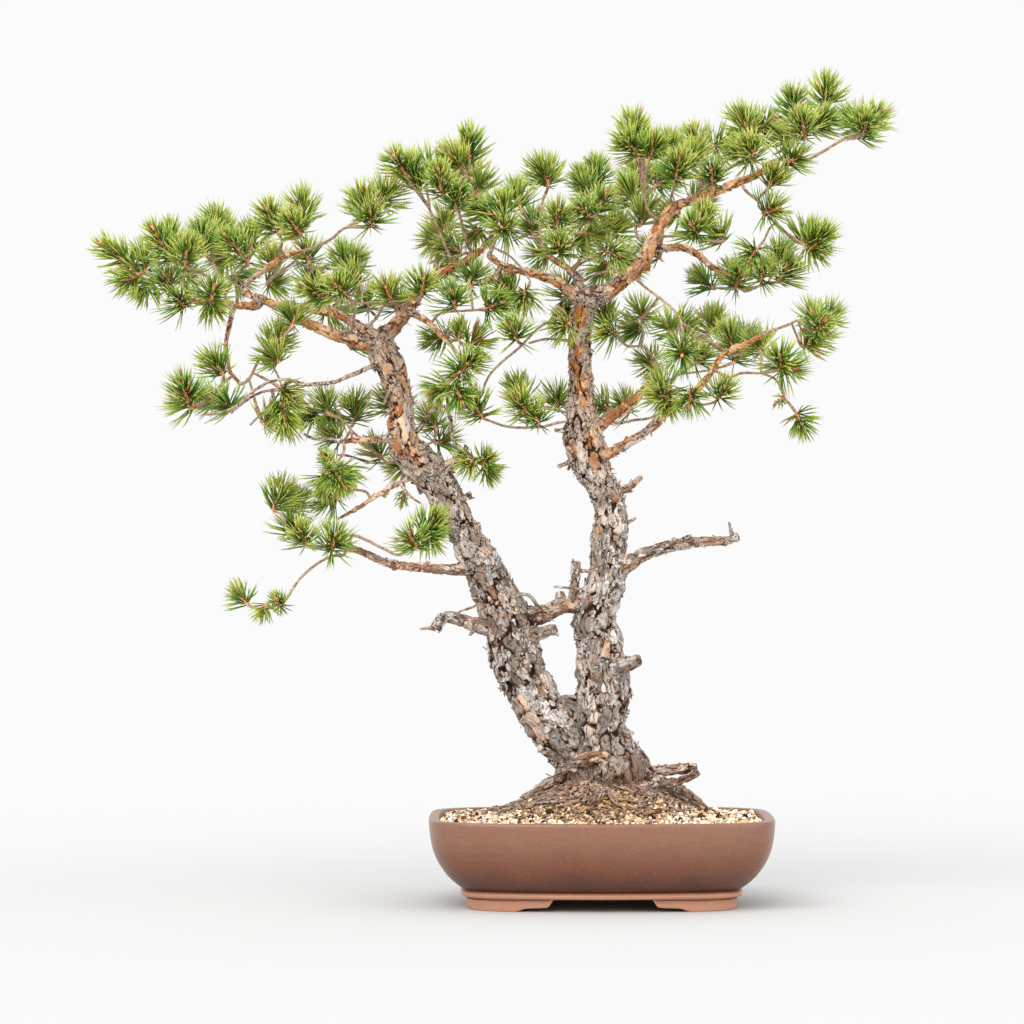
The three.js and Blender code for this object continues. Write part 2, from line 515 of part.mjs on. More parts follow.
// The pot's plan: a rectangle with tight round corners and sides that bow out. The turns in degrees
// place the points of each quarter, close together at its corner.
function roundedRing(inset, z) {
  return [0, 90, 180, 270].flatMap((quarter) => outlineTurns.map((turn) => {
    const angle = THREE.MathUtils.degToRad(quarter + turn);
    const c = Math.cos(angle);
    const s = Math.sin(angle);
    const along = Math.sign(c) * Math.abs(c) ** (2 / cornerPower);
    const across = Math.sign(s) * Math.abs(s) ** (2 / cornerPower);
    return new THREE.Vector3(
      (rimHalfLength - inset) * along * (1 - shortSideBow * across * across),
      (rimHalfDepth - inset) * across * (1 - longSideBow * along * along),
      z,
    );
  }));
}

// A closed solid from rings that run from an end at the bottom to an end at the top
function ringSolid(rings, firstCentre, lastCentre) {
  const sides = rings[0].length;
  const points = [...rings.flat(), firstCentre, lastCentre];
  const first = points.length - 2;
  const triangles = [];
  for (let i = 0; i + 1 < rings.length; i += 1) {
    for (let j = 0; j < sides; j += 1) {
      const next = (j + 1) % sides;
      const low = i * sides;
      const high = low + sides;
      triangles.push([low + j, low + next, high + next]);
      triangles.push([low + j, high + next, high + j]);
    }
  }
  const last = (rings.length - 1) * sides;
  for (let j = 0; j < sides; j += 1) {
    const next = (j + 1) % sides;
    triangles.push([first, next, j]);
    triangles.push([first + 1, last + j, last + next]);
  }
  return solidFrom(points, triangles);
}

// An outline in x and z, extruded along y and placed with its middle on the x axis
function crossBar(outline, length) {
  const shape = new THREE.Shape(outline.map(([x, z]) => new THREE.Vector2(x, z)));
  const geometry = new THREE.ExtrudeGeometry(shape, { depth: length, bevelEnabled: false });
  geometry.rotateX(Math.PI / 2);
  geometry.translate(0, length / 2, 0);
  return solidFromGeometry(geometry);
}

// The arch between two cloud feet, as an outline with its half-width at the top. Its sides step out
// by the curl of the foot, as [share of the curl, height].
const cloudCurl = [[0, footHeight + 0.1], [0, 12], [0.4, 9.5], [0.6, 5], [0.95, 1.6], [1, -1]];

function archOutline(topHalf, curl) {
  const half = cloudCurl.map(([share, z]) => [topHalf + share * curl, z]);
  return [...half.map(([x, z]) => [-x, z]).reverse(), ...half];
}

function drainHoles() {
  return [-drainHoleX, drainHoleX].map((x) => {
    const geometry = new THREE.CylinderGeometry(drainHoleRadius, drainHoleRadius, 3 * floorTop, 12);
    geometry.rotateX(Math.PI / 2);
    geometry.translate(x, 0, floorTop);
    return solidFromGeometry(geometry);
  });
}

// A closed block with a rounded-rectangle outline between two heights
function roundedBlock(inset, low, high) {
  const rings = [low, high].map((z) => roundedRing(inset, z));
  return ringSolid(rings, new THREE.Vector3(0, 0, low), new THREE.Vector3(0, 0, high));
}

function makePot() {
  const rings = [...outsideProfile, ...insideProfile].map(([inset, z]) => roundedRing(inset, z));
  const bowl = ringSolid(rings, new THREE.Vector3(0, 0, footHeight), new THREE.Vector3(0, 0, floorTop));
  const footRing = roundedBlock(footInset, 0, footHeight + 1.5)
    .subtract(roundedBlock(footInset + footWidth, -1, footHeight + 3))
    .subtract(crossBar(archOutline(footGapHalf, footGapCurl), 3 * rimHalfDepth))
    .subtract(crossBar(archOutline(sideGapHalf, sideGapCurl), 3 * rimHalfLength).rotate([0, 0, 90]));
  return drainHoles().reduce((pot, hole) => pot.subtract(hole), bowl.add(footRing));
}

// Drain screen: a square of coarse plastic mesh
function makeScreen(x) {
  const opening = (screenSize - 3 * screenBar) / 2;
  const offset = (opening + screenBar) / 2;
  const block = (size, height, px, py) => {
    const geometry = new THREE.BoxGeometry(size, size, height);
    geometry.translate(x + px, py, floorTop + seatGap + screenThickness / 2);
    return solidFromGeometry(geometry);
  };
  let screen = block(screenSize, screenThickness, 0, 0);
  [-offset, offset].forEach((px) => [-offset, offset].forEach((py) => {
    screen = screen.subtract(block(opening, 3 * screenThickness, px, py));
  }));
  return screen;
}

// Soil: fills the pot just clear of its wall and rises to the trunk, with a relief of grains. Its
// top is made of rings at shares of the way out to the wall.
const soilShares = [0.94, 0.83, 0.71, 0.59, 0.47, 0.35, 0.2];
const soilCrown = soilEdge + 3;

function makeSoil(woodHole) {
  const random = seededRandom(11);
  const low = floorTop + seatGap;
  const sides = [...insideProfile].reverse()
    .map(([inset, z]) => roundedRing(inset + soilClearance, Math.max(z, low)));
  const rim = sides[sides.length - 1];
  const tops = soilShares.map((share) => rim.map((point) => {
    const rise = moundRise * Math.exp(-((share / moundSpread) ** moundShoulder));
    const grain = grainRelief * (2 * random() - 1);
    const spread = share + 0.03 * (random() - 0.5);
    return new THREE.Vector3(point.x * spread, point.y * spread, soilCrown + rise + grain);
  }));
  const foot = new THREE.Vector3(0, 0, low);
  const peak = new THREE.Vector3(0, 0, soilCrown + moundRise);
  let soil = ringSolid([...sides, ...tops], foot, peak);
  const recessSize = screenSize + 2 * soilClearance;
  const recessHeight = screenThickness + 2 * seatGap;
  [-drainHoleX, drainHoleX].forEach((x) => {
    const recess = new THREE.BoxGeometry(recessSize, recessSize, 2 * recessHeight);
    recess.translate(x, 0, floorTop);
    soil = soil.subtract(solidFromGeometry(recess));
  });
  return soil.subtract(woodHole);
}

// Trunk rings are spaced evenly along a smooth curve, with plates of bark that stand out and sink
function trunkPath(route) {
  const [footDepth, topDepth] = route.depths;
  const count = route.points.length;
  const stations = route.points.map(([x, y, half], i) => {
    const depth = lerp(footDepth, topDepth, i / (count - 1));
    return { x, y, depth, radius: half * unitSize };
  });
  const curve = new THREE.CatmullRomCurve3(stations.map(stationPoint), false, "centripetal");
  const steps = Math.round(curve.getLength() / ringStep);
  const points = [];
  const radii = [];
  for (let i = 0; i <= steps; i += 1) {
    const t = curve.getUtoTmapping(i / steps);
    const place = t * (count - 1);
    const k = Math.min(Math.floor(place), count - 2);
    points.push(curve.getPoint(t));
    radii.push(lerp(stations[k].radius, stations[k + 1].radius, place - k));
  }
  return { stations, points, radii };
}

function plateRelief(seed, amount) {
  const random = seededRandom(seed);
  const plateCount = 400;
  const columns = 7;
  const plates = Array.from({ length: plateCount }, () => random() - 0.45);
  return (i, angle) => {
    const turn = ((angle / (2 * Math.PI)) % 1) * columns;
    const column = Math.floor(turn);
    const row = Math.floor((i + 2 * plates[column]) / 2);
    const furrow = turn - column < 0.5 ? 0.5 : -0.35;
    const plate = plates[(row * columns + column + plateCount) % plateCount];
    return amount * (1.2 * plate + 0.7 * furrow);
  };
}

const routes = {};
const trunks = Object.entries(trunkRoutes).map(([name, route], i) => {
  const path = trunkPath(route);
  routes[name] = path.stations;
  return { ...path, relief: plateRelief(21 + i, barkRelief) };
});
const roots = rootRoutes.map(([points, startDepth, endDepth, startRadius, endRadius], i) => {
  const stations = stationsAlong(points, startDepth, endDepth, startRadius, endRadius);
  const radii = stations.map((station) => station.radius);
  return { points: stations.map(stationPoint), radii, relief: plateRelief(41 + i, rootRelief) };
});

// The trunks and roots, grown by a margin when the soil's hole for them is cut
function groundWood(grow) {
  const bodies = [
    ...trunks.map((trunk) => tube(trunk.points, trunk.radii, trunkSides, trunk.relief, grow)),
    ...roots.map((root) => tube(root.points, root.radii, rootSides, root.relief, grow)),
  ];
  return wasm.Manifold.union(bodies);
}

function obstaclesAlong(points, radii, node, shoot) {
  for (let i = 0; i + 1 < points.length; i += 1) {
    addObstacle(points[i], points[i + 1], radii[i], radii[i + 1], node, shoot);
  }
}

// Limbs start on their parent's middle line and end in a flat cut. Thicker ones have more sides, and
// only those over 4 units have plates of bark.
const sideLimits = [2.3, 4, 6];

function makeLimb([name, parent, points, endDepth, startRadius, endRadius], i) {
  const root = nearestStation(routes[parent], points[0][0], points[0][1]);
  const all = [[root.x, root.y], ...points];
  const stations = stationsAlong(all, root.depth, depthSpread * endDepth, startRadius, endRadius);
  routes[name] = stations;
  const path = stations.map(stationPoint);
  const radii = stations.map((station) => station.radius);
  obstaclesAlong(path, radii, "wood", name);
  const sides = 3 + sideLimits.filter((limit) => startRadius > limit).length;
  const relief = startRadius > sideLimits[1] ? barkRelief : 0;
  return tube(path, radii, sides, plateRelief(61 + i, relief));
}

trunks.forEach((trunk) => {
  const overBark = trunk.radii.map((radius) => (1 + barkRelief) * radius);
  obstaclesAlong(trunk.points, overBark, "wood", "trunk");
});
const wood = wasm.Manifold.union([...limbRoutes.map(makeLimb), groundWood(0)]);

// A shoot's rings: along its way, then its needle-bearing core, then the bud
function shootRings(way, wayRadii, foot, tip) {
  const axis = tip.clone().sub(foot);
  const length = Math.max(axis.length(), leastShoot);
  axis.normalize();
  const at = (distance) => foot.clone().addScaledVector(axis, distance);
  const core = [0, whorlHeight, length - budLength].map(at);
  const points = [...way, ...core];
  const radii = [...wayRadii, coreRadius, coreRadius, coreRadius];
  return { points, radii, axis, bud: at(length) };
}

function prepareShoot(way, wayRadii, foot, tip, node, id) {
  const shoot = { ...shootRings(way, wayRadii, foot, tip), node, id };
  obstaclesAlong([...shoot.points, shoot.bud], [...shoot.radii, budPoint], node, id);
  return shoot;
}

function needleTip(root, axis, outward, polar, turn, length) {
  const side = outward.clone().applyAxisAngle(axis, turn);
  return root.clone()
    .addScaledVector(axis, length * Math.cos(polar))
    .addScaledVector(side, length * Math.sin(polar));
}

// Tries a needle straight, then bent to either side, then shorter, and gives its tip or nothing
const needleBends = [0, 9, -9, 18, -18].map(THREE.MathUtils.degToRad);
const needleTurns = [0, 14, -14].map(THREE.MathUtils.degToRad);
const needleShares = [1, 0.8, 0.62];

function findNeedle(shoot, root, outward, polar, length) {
  for (const share of needleShares) {
    for (const bend of needleBends) {
      for (const turn of needleTurns) {
        const end = needleTip(root, shoot.axis, outward, polar + bend, turn, length * share);
        const start = root.clone().lerp(end, 0.12);
        if (isClear(start, end, needleFoot, needlePoint, shoot.node, shoot.id)) return end;
      }
    }
  }
  return null;
}

// A shoot with its needles: the faces of its lower whorl and of its bud are raised to needle tips
function finishShoot(shoot, random) {
  const sides = shootSides;
  const rings = pathRings(shoot.points, shoot.radii, sides);
  const points = [...rings.flat(), shoot.bud];
  const bud = points.length - 1;
  const ringCount = rings.length;
  const last = (ringCount - 1) * sides;
  const body = tubeTriangles(ringCount, sides).slice(0, -1);
  for (let j = 0; j < sides; j += 1) body.push([last + j, last + ((j + 1) % sides), bud]);
  const whorlBand = ringCount - 3;
  const triangles = [];
  body.forEach((triangle, index) => {
    const onBud = triangle.includes(bud);
    const onWhorl = Math.floor(index / (2 * sides)) === whorlBand;
    if (!onBud && !onWhorl) {
      triangles.push(triangle);
      return;
    }
    const root = new THREE.Vector3();
    triangle.forEach((k) => root.addScaledVector(points[k], 1 / 3));
    const outward = root.clone().sub(shoot.bud);
    outward.addScaledVector(shoot.axis, -outward.dot(shoot.axis)).normalize();
    const lean = onBud ? budLean : whorlLeans[index % 2];
    const polar = THREE.MathUtils.degToRad(lean + leanScatter * (random() - 0.5));
    const length = needleLength * (onBud ? budNeedleShare : 1) * (0.86 + 0.24 * random());
    const tip = findNeedle(shoot, root, outward, polar, length);
    if (!tip) {
      triangles.push(triangle);
      return;
    }
    addObstacle(root, tip, needleFoot, needlePoint, shoot.node, shoot.id);
    const [a, b, c] = triangle;
    points.push(tip);
    const top = points.length - 1;
    triangles.push([a, b, top], [b, c, top], [c, a, top]);
  });
  return solidFrom(points, triangles);
}

// The least distance along a path at which the cut end of a twig clears the wood by the seat gap
function seatDistance(path, radius, from) {
  const step = 0.15;
  const probeLength = 5;
  let distance = from;
  let gap = 0;
  while (gap < seatGap) {
    distance += step;
    const probe = [distance, distance + probeLength].map((place) => pointAlong(path, place).point);
    gap = wood.minGap(tube(probe, [radius, radius], shootSides), 1);
  }
  return distance;
}

// A spray: its stem starts at the bark of its parent with a gap, and its shoots leave the stem
function prepareSpray([name, parent, stemPoints, stemEndDepth, stemRadius, shootList]) {
  const node = `spray_${name}`;
  const endDepth = depthSpread * stemEndDepth;
  const root = nearestStation(routes[parent], stemPoints[0][0], stemPoints[0][1]);
  const parentPath = routes[parent];
  const atTip = root.index === parentPath.length - 2 && root.t > 0.98;
  const line = [[root.x, root.y], ...stemPoints];
  const stations = stationsAlong(line, root.depth, endDepth, stemRadius, 0.8 * stemRadius);
  const path = stations.map(stationPoint);
  const radii = stations.map((station) => station.radius);
  let stem;
  if (atTip) {
    const end = stationPoint(parentPath[parentPath.length - 1]);
    const along = end.clone().sub(stationPoint(parentPath[parentPath.length - 2])).normalize();
    const start = end.clone().addScaledVector(along, seatGap);
    stem = [start, start.clone().addScaledVector(along, 2.5), ...path.slice(1)];
    radii.splice(0, 1, root.radius, 0.9 * root.radius);
  } else {
    const { point, index } = pointAlong(path, seatDistance(path, radii[0], 0.7 * root.radius));
    const rest = path.slice(index + 1).filter((place) => place.distanceTo(point) > 3);
    stem = [point, ...rest];
    radii.splice(0, radii.length - rest.length, radii[0]);
  }
  const tapered = radii.map((radius) => Math.max(radius, shootRadius));
  const spray = { node, shoots: [], extra: [] };
  shootList.forEach((shootRow, i) => {
    if (shootRow === null) {
      obstaclesAlong(stem, tapered, node, `${node}_stem`);
      spray.extra.push(tube(stem, tapered, shootSides));
      return;
    }
    const [footX, footY, tipX, tipY, rowFootDepth, rowTipDepth, between = []] = shootRow;
    const footDepth = depthSpread * rowFootDepth;
    const foot = fromView(footX, footY, footDepth);
    const tip = fromView(tipX, tipY, depthSpread * rowTipDepth);
    let way = stem;
    let wayRadii = tapered;
    if (i === 0) {
      way = [...stem, ...between.map(([x, y]) => fromView(x, y, lerp(endDepth, footDepth, 0.5)))];
      wayRadii = way.map((_, k) => tapered[Math.min(k, tapered.length - 1)]);
    } else {
      const aim = between.length > 0 ? between[0] : [footX, footY];
      const leave = nearestStation(stations.slice(stations.length > 2 ? 1 : 0), aim[0], aim[1]);
      const count = between.length + 1;
      const depthAt = (k) => lerp(leave.depth, footDepth, (k + 1) / count);
      way = [stationPoint(leave), ...between.map(([x, y], k) => fromView(x, y, depthAt(k)))];
      wayRadii = way.map(() => shootRadius);
    }
    const lastPoint = way[way.length - 1];
    if (lastPoint.distanceTo(foot) < leastStretch) {
      foot.copy(lastPoint).addScaledVector(tip.clone().sub(lastPoint).normalize(), leastStretch);
    }
    spray.shoots.push(prepareShoot(way, wayRadii, foot, tip, node, `${node}_${i}`));
  });
  return spray;
}

const sprays = sprayRoutes.map(prepareSpray);

const potMesh = namedMesh("pot", makePot(), 0x85604f, 0.85);
const soilMesh = namedMesh("soil", makeSoil(groundWood(woodHoleClearance)), 0xb8925c, 0.95);
const screenLeft = namedMesh("drain_screen_left", makeScreen(-drainHoleX), 0x2b2b2b, 0.7);
const screenRight = namedMesh("drain_screen_right", makeScreen(drainHoleX), 0x2b2b2b, 0.7);
const woodMesh = namedMesh("wood", wood, 0x94816e, 0.9);
const sprayMeshes = sprays.map((spray, i) => {
  const random = seededRandom(101 + i);
  const bodies = [...spray.extra, ...spray.shoots.map((shoot) => finishShoot(shoot, random))];
  return namedMesh(spray.node, wasm.Manifold.union(bodies), 0x557a33, 0.6);
});

const bonsai = new THREE.Group();
bonsai.name = "scots_pine_bonsai";
bonsai.add(potMesh, screenLeft, screenRight, soilMesh, woodMesh, ...sprayMeshes);

// The origin is on the ground under the middle of the whole object's box
const wholeBox = new THREE.Box3().setFromObject(bonsai);
const middle = wholeBox.getCenter(new THREE.Vector3());
bonsai.position.set(-middle.x, -middle.y, -wholeBox.min.z);

export default bonsai;
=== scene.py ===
import math
import random

import bmesh
import bpy
import numpy as np
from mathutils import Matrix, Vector, noise


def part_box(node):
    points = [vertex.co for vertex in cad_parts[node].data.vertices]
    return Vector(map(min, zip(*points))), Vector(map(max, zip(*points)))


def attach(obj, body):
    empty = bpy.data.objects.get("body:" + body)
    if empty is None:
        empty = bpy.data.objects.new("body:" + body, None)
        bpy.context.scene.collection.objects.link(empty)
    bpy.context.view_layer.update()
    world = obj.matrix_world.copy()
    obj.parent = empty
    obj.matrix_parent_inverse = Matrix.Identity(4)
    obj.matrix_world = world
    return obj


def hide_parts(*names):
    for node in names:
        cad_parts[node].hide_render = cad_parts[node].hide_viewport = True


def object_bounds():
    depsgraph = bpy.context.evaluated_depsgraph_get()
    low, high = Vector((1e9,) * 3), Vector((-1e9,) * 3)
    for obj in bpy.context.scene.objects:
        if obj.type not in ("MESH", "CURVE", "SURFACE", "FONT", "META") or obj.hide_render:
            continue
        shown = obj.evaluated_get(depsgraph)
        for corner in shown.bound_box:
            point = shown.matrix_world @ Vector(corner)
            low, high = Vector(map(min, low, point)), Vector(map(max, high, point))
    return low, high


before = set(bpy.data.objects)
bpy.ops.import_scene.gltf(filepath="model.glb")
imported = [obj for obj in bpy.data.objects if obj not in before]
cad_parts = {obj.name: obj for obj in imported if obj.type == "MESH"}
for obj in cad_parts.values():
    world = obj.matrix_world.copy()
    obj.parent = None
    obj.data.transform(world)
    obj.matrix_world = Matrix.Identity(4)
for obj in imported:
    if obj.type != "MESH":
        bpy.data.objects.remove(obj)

cadLow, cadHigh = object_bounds()
potLow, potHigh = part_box("pot")
shiftX = (potLow[0] + potHigh[0]) / 2
shiftY = (potLow[1] + potHigh[1]) / 2
mm = 0.001

# The reference view: a level eye 5.27 m in front of the pot. The routes below are in units of that
# view (x to the right, y down, 1.2 mm a unit at the trunk), with depths in mm (+ is behind).
reference = {
    "unit": 1.2 * mm, "eyeDistance": 5.274, "eyeX": -0.1068, "eyeHeight": 0.470, "centre": 512,
    "frameUnits": 1024, "depthSpread": 1.3, "sensorWidth": 36, "farEnd": 50,
}

# Trunks: points (x, y, half-width), with the depth at the foot and at the top
trunkRoutes = {
    "leftTrunk": {"depths": (0, 12), "points": [
        (600, 838, 17), (599, 815, 28), (593, 790, 30), (583, 768, 29), (573, 750, 25), (556, 730, 24),
        (541, 710, 23.5), (528, 685, 23.5), (515, 656, 26), (510, 627, 25.5), (501, 606, 22.5),
        (485, 572, 19.5), (461, 526, 14), (436, 480, 17), (417, 461, 17.5), (405, 447, 15),
        (402, 430, 12), (402, 405, 11),
        (398, 388, 11), (391, 370, 13), (383, 350, 13), (379, 341, 9)]},
    "rightTrunk": {"depths": (0, -5), "points": [
        (606, 838, 19), (607, 815, 31), (612, 790, 37), (612, 768, 37), (606, 750, 29), (600, 730, 26),
        (600, 710, 26), (604, 687, 25.5), (600, 664, 22.5), (599, 641, 22), (595, 618, 20), (602, 592, 19),
        (609, 568, 17.5), (609, 549, 16.5), (611, 520, 16), (608, 498, 15.5), (599, 480, 15.5),
        (592, 468, 18), (586, 454, 18.5), (582, 432, 17.5), (582, 414, 14), (581, 394, 12),
        (580, 370, 10.5), (580, 342, 10.5), (582, 316, 11.5), (587, 301, 8.5)]},
}

# Roots: (points, depth at the start, depth at the end, start radius, end radius, 1 for a swelling)
rootRoutes = [
    ([(622, 776), (652, 773), (676, 770), (697, 768)], -6, -24, 9, 3.8, 0),
    ([(628, 796), (650, 790), (672, 784), (688, 778), (698, 771)], -44, -26, 5.6, 4, 0),
    ([(652, 781), (672, 788), (688, 796), (706, 809)], -14, -50, 7.5, 3.4, 0),
    ([(590, 764), (566, 772), (553, 783), (541, 791), (526, 801)], -6, -26, 7.5, 5, 0),
    ([(594, 786), (566, 790), (545, 798), (522, 806)], -20, -70, 6, 3, 0),
    ([(562, 768), (572, 766), (584, 760), (596, 754), (608, 757)], -30, -34, 6.5, 6.5, 0),
    ([(604, 784), (600, 792), (590, 802)], -18, -86, 7, 3.2, 0),
    ([(590, 778), (566, 782), (548, 786)], 16, 84, 7, 3.2, 0),
    ([(612, 782), (636, 780), (668, 784)], 18, 92, 7.5, 3.2, 0),
    ([(554, 720), (567, 712), (580, 720)], 8, 4, 17, 17, 1),
    ([(620, 744), (636, 762), (650, 780)], -6, -12, 7, 8, 1),
    ([(580, 746), (570, 764), (561, 784)], -14, -22, 6, 8, 1),
]

# Limbs and dead wood: (name, parent, points, depth at the end, start radius, end radius)
limbRoutes = [
    ("limbA", "leftTrunk", [(366, 343), (352, 339), (332, 334), (304, 321), (290, 312), (270, 303),
        (246, 293)], -10, 6.5, 3.3),
    ("limbAUpper", "leftTrunk", [(372, 334), (360, 327), (340, 315), (316, 310), (296, 307), (282, 306)],
        -4, 5.2, 4),
    ("limbAFar", "limbA", [(256, 305), (232, 305), (204, 303), (190, 300)], -25, 4.4, 2.4),
    ("limbTwist", "limbA", [(243, 287), (253, 278), (266, 268), (285, 256), (300, 252)], 15, 3.2, 2.1),
    ("limbHang", "limbAFar", [(232, 312), (228, 332), (226, 348), (230, 371), (239, 383)], -40, 2.6, 1.9),
    ("deadD", "leftTrunk", [(368, 368), (357, 373), (346, 377), (335, 382), (304, 385)], -60, 2.4, 1.8),
    ("deadDUp", "deadD", [(290, 380), (272, 381), (254, 391), (231, 409), (204, 415)], -85, 1.7, 1.2),
    ("deadDLow", "deadD", [(290, 389), (266, 391), (250, 398), (231, 413)], -35, 1.6, 1.2),
    ("deadDTip", "deadDLow", [(273, 399), (266, 409), (250, 425)], -30, 1.5, 1.1),
    ("deadA", "limbAUpper", [(363, 331), (377, 317), (383, 307), (391, 302)], -30, 1.8, 1.2),
    ("limbP", "leftTrunk", [(385, 335), (396, 325), (408, 310), (418, 295), (433, 279), (450, 269),
        (466, 261), (480, 251), (489, 240)], 46, 7, 3),
    ("limbR", "limbP", [(416, 315), (428, 322), (441, 335), (450, 344)], -25, 3.6, 2.3),
    ("deadP", "limbP", [(468, 253), (452, 257), (440, 254)], 18, 1.6, 1.1),
    ("limbE", "leftTrunk", [(391, 439), (374, 439), (357, 440), (340, 441)], -30, 4.2, 2.2),
    ("deadE", "limbE", [(329, 439), (315, 439), (304, 434)], -46, 1.9, 1.2),
    ("deadE2", "leftTrunk", [(392, 462), (370, 462), (349, 456), (338, 455)], 34, 1.7, 1.2),
    ("deadV", "leftTrunk", [(418, 430), (427, 416), (438, 407), (445, 407), (451, 420), (453, 441),
        (461, 447)], -26, 2.6, 1.3),
    ("stubV", "leftTrunk", [(447, 468), (458, 458), (467, 447)], -12, 8, 2.6),
    ("limbF", "leftTrunk", [(408, 478), (395, 485), (376, 496), (358, 508), (338, 519)], -22, 3, 1.5),
    ("deadF", "limbF", [(402, 486), (410, 496), (420, 503)], -40, 1.5, 1.1),
    ("limbM", "leftTrunk", [(463, 569), (441, 569), (413, 567), (391, 564), (373, 557), (354, 549),
        (341, 545)], -45, 5.2, 3),
    ("stubLeft", "leftTrunk", [(485, 626), (462, 620), (444, 617), (438, 624), (436, 629)], -14, 7, 5),
    ("stubLeftTip", "stubLeft", [(430, 628), (420, 629)], -16, 1.7, 1.1),
    ("deadLeft", "leftTrunk", [(478, 605), (459, 612)], -10, 1.6, 1.1),
    ("crossStub", "leftTrunk", [(522, 619), (547, 612), (565, 605), (590, 607)], 0, 8, 7.5),
    ("crossKnob", "crossStub", [(561, 600), (560, 592)], 4, 4.6, 3.6),
    ("crossArch", "crossStub", [(538, 608), (531, 597), (519, 594), (506, 600)], -6, 1.9, 1.8),
    ("shortStub", "leftTrunk", [(540, 633), (555, 629)], -22, 6, 5.2),
    ("risingStub", "crossStub", [(574, 598), (575, 580), (576, 562)], -10, 4.6, 5),
    ("risingTwig", "risingStub", [(580, 571), (596, 571)], -6, 1.7, 1.6),
    ("crossTwig", "rightTrunk", [(580, 589), (554, 587)], -20, 1.5, 1.1),
    ("deadRight", "rightTrunk", [(626, 564), (648, 553), (675, 545), (705, 541), (727, 540), (738, 536)],
        -52, 7.5, 3.8),
    ("deadRightTip", "deadRight", [(732, 535), (729, 523)], -50, 1.9, 1.2),
    ("stubRight", "rightTrunk", [(620, 666), (639, 661)], -26, 7, 6),
    ("stubUpper", "rightTrunk", [(616, 493), (630, 486), (641, 477)], -14, 4.6, 2.6),
    ("stubMiddle", "rightTrunk", [(626, 523), (636, 518)], -6, 2.2, 1.4),
    ("stubLeftHigh", "leftTrunk", [(458, 500), (471, 496)], -8, 4.6, 2.8),
    ("stubLeftMid", "leftTrunk", [(487, 556), (496, 552)], 4, 4.4, 3),
    ("stubHighLeft", "rightTrunk", [(570, 462), (558, 467)], -8, 3, 2),
    ("stubHigh2", "rightTrunk", [(570, 431), (555, 430)], -14, 3, 1.8),
    ("limbC", "rightTrunk", [(579, 300), (565, 287), (554, 280), (530, 273), (503, 266), (490, 257)], -40,
        5.8, 3),
    ("deadC", "limbC", [(496, 274), (486, 281), (473, 283)], -20, 2.4, 1.4),
    ("limbMid", "rightTrunk", [(586, 297), (580, 285), (575, 275), (567, 268), (556, 261), (546, 253)], 30,
        4.6, 2.6),
    ("limbRight", "rightTrunk", [(596, 296), (604, 293), (615, 286), (636, 269), (645, 258), (650, 246),
        (657, 230), (665, 217), (677, 206), (700, 197), (720, 190), (740, 182), (760, 173), (775, 163)], 0,
        8.5, 2.6),
    ("limbS", "limbRight", [(662, 248), (680, 247), (695, 253), (711, 266), (728, 276), (744, 289)], 30, 4,
        2.9),
    ("deadY1", "rightTrunk", [(570, 341), (548, 339), (529, 343)], -24, 1.7, 1.1),
    ("limbB", "rightTrunk", [(596, 426), (607, 420), (618, 413), (628, 406), (638, 395), (646, 387),
        (653, 377), (655, 368)], 36, 6.2, 3),
    ("deadB", "limbB", [(616, 423), (635, 420), (650, 418), (660, 413)], -12, 1.8, 1.2),
    ("limbK", "rightTrunk", [(601, 457), (614, 451), (628, 443), (642, 434), (663, 416), (677, 406),
        (698, 388), (712, 372), (718, 361), (727, 352), (750, 342), (762, 334)], -72, 5, 2),
]

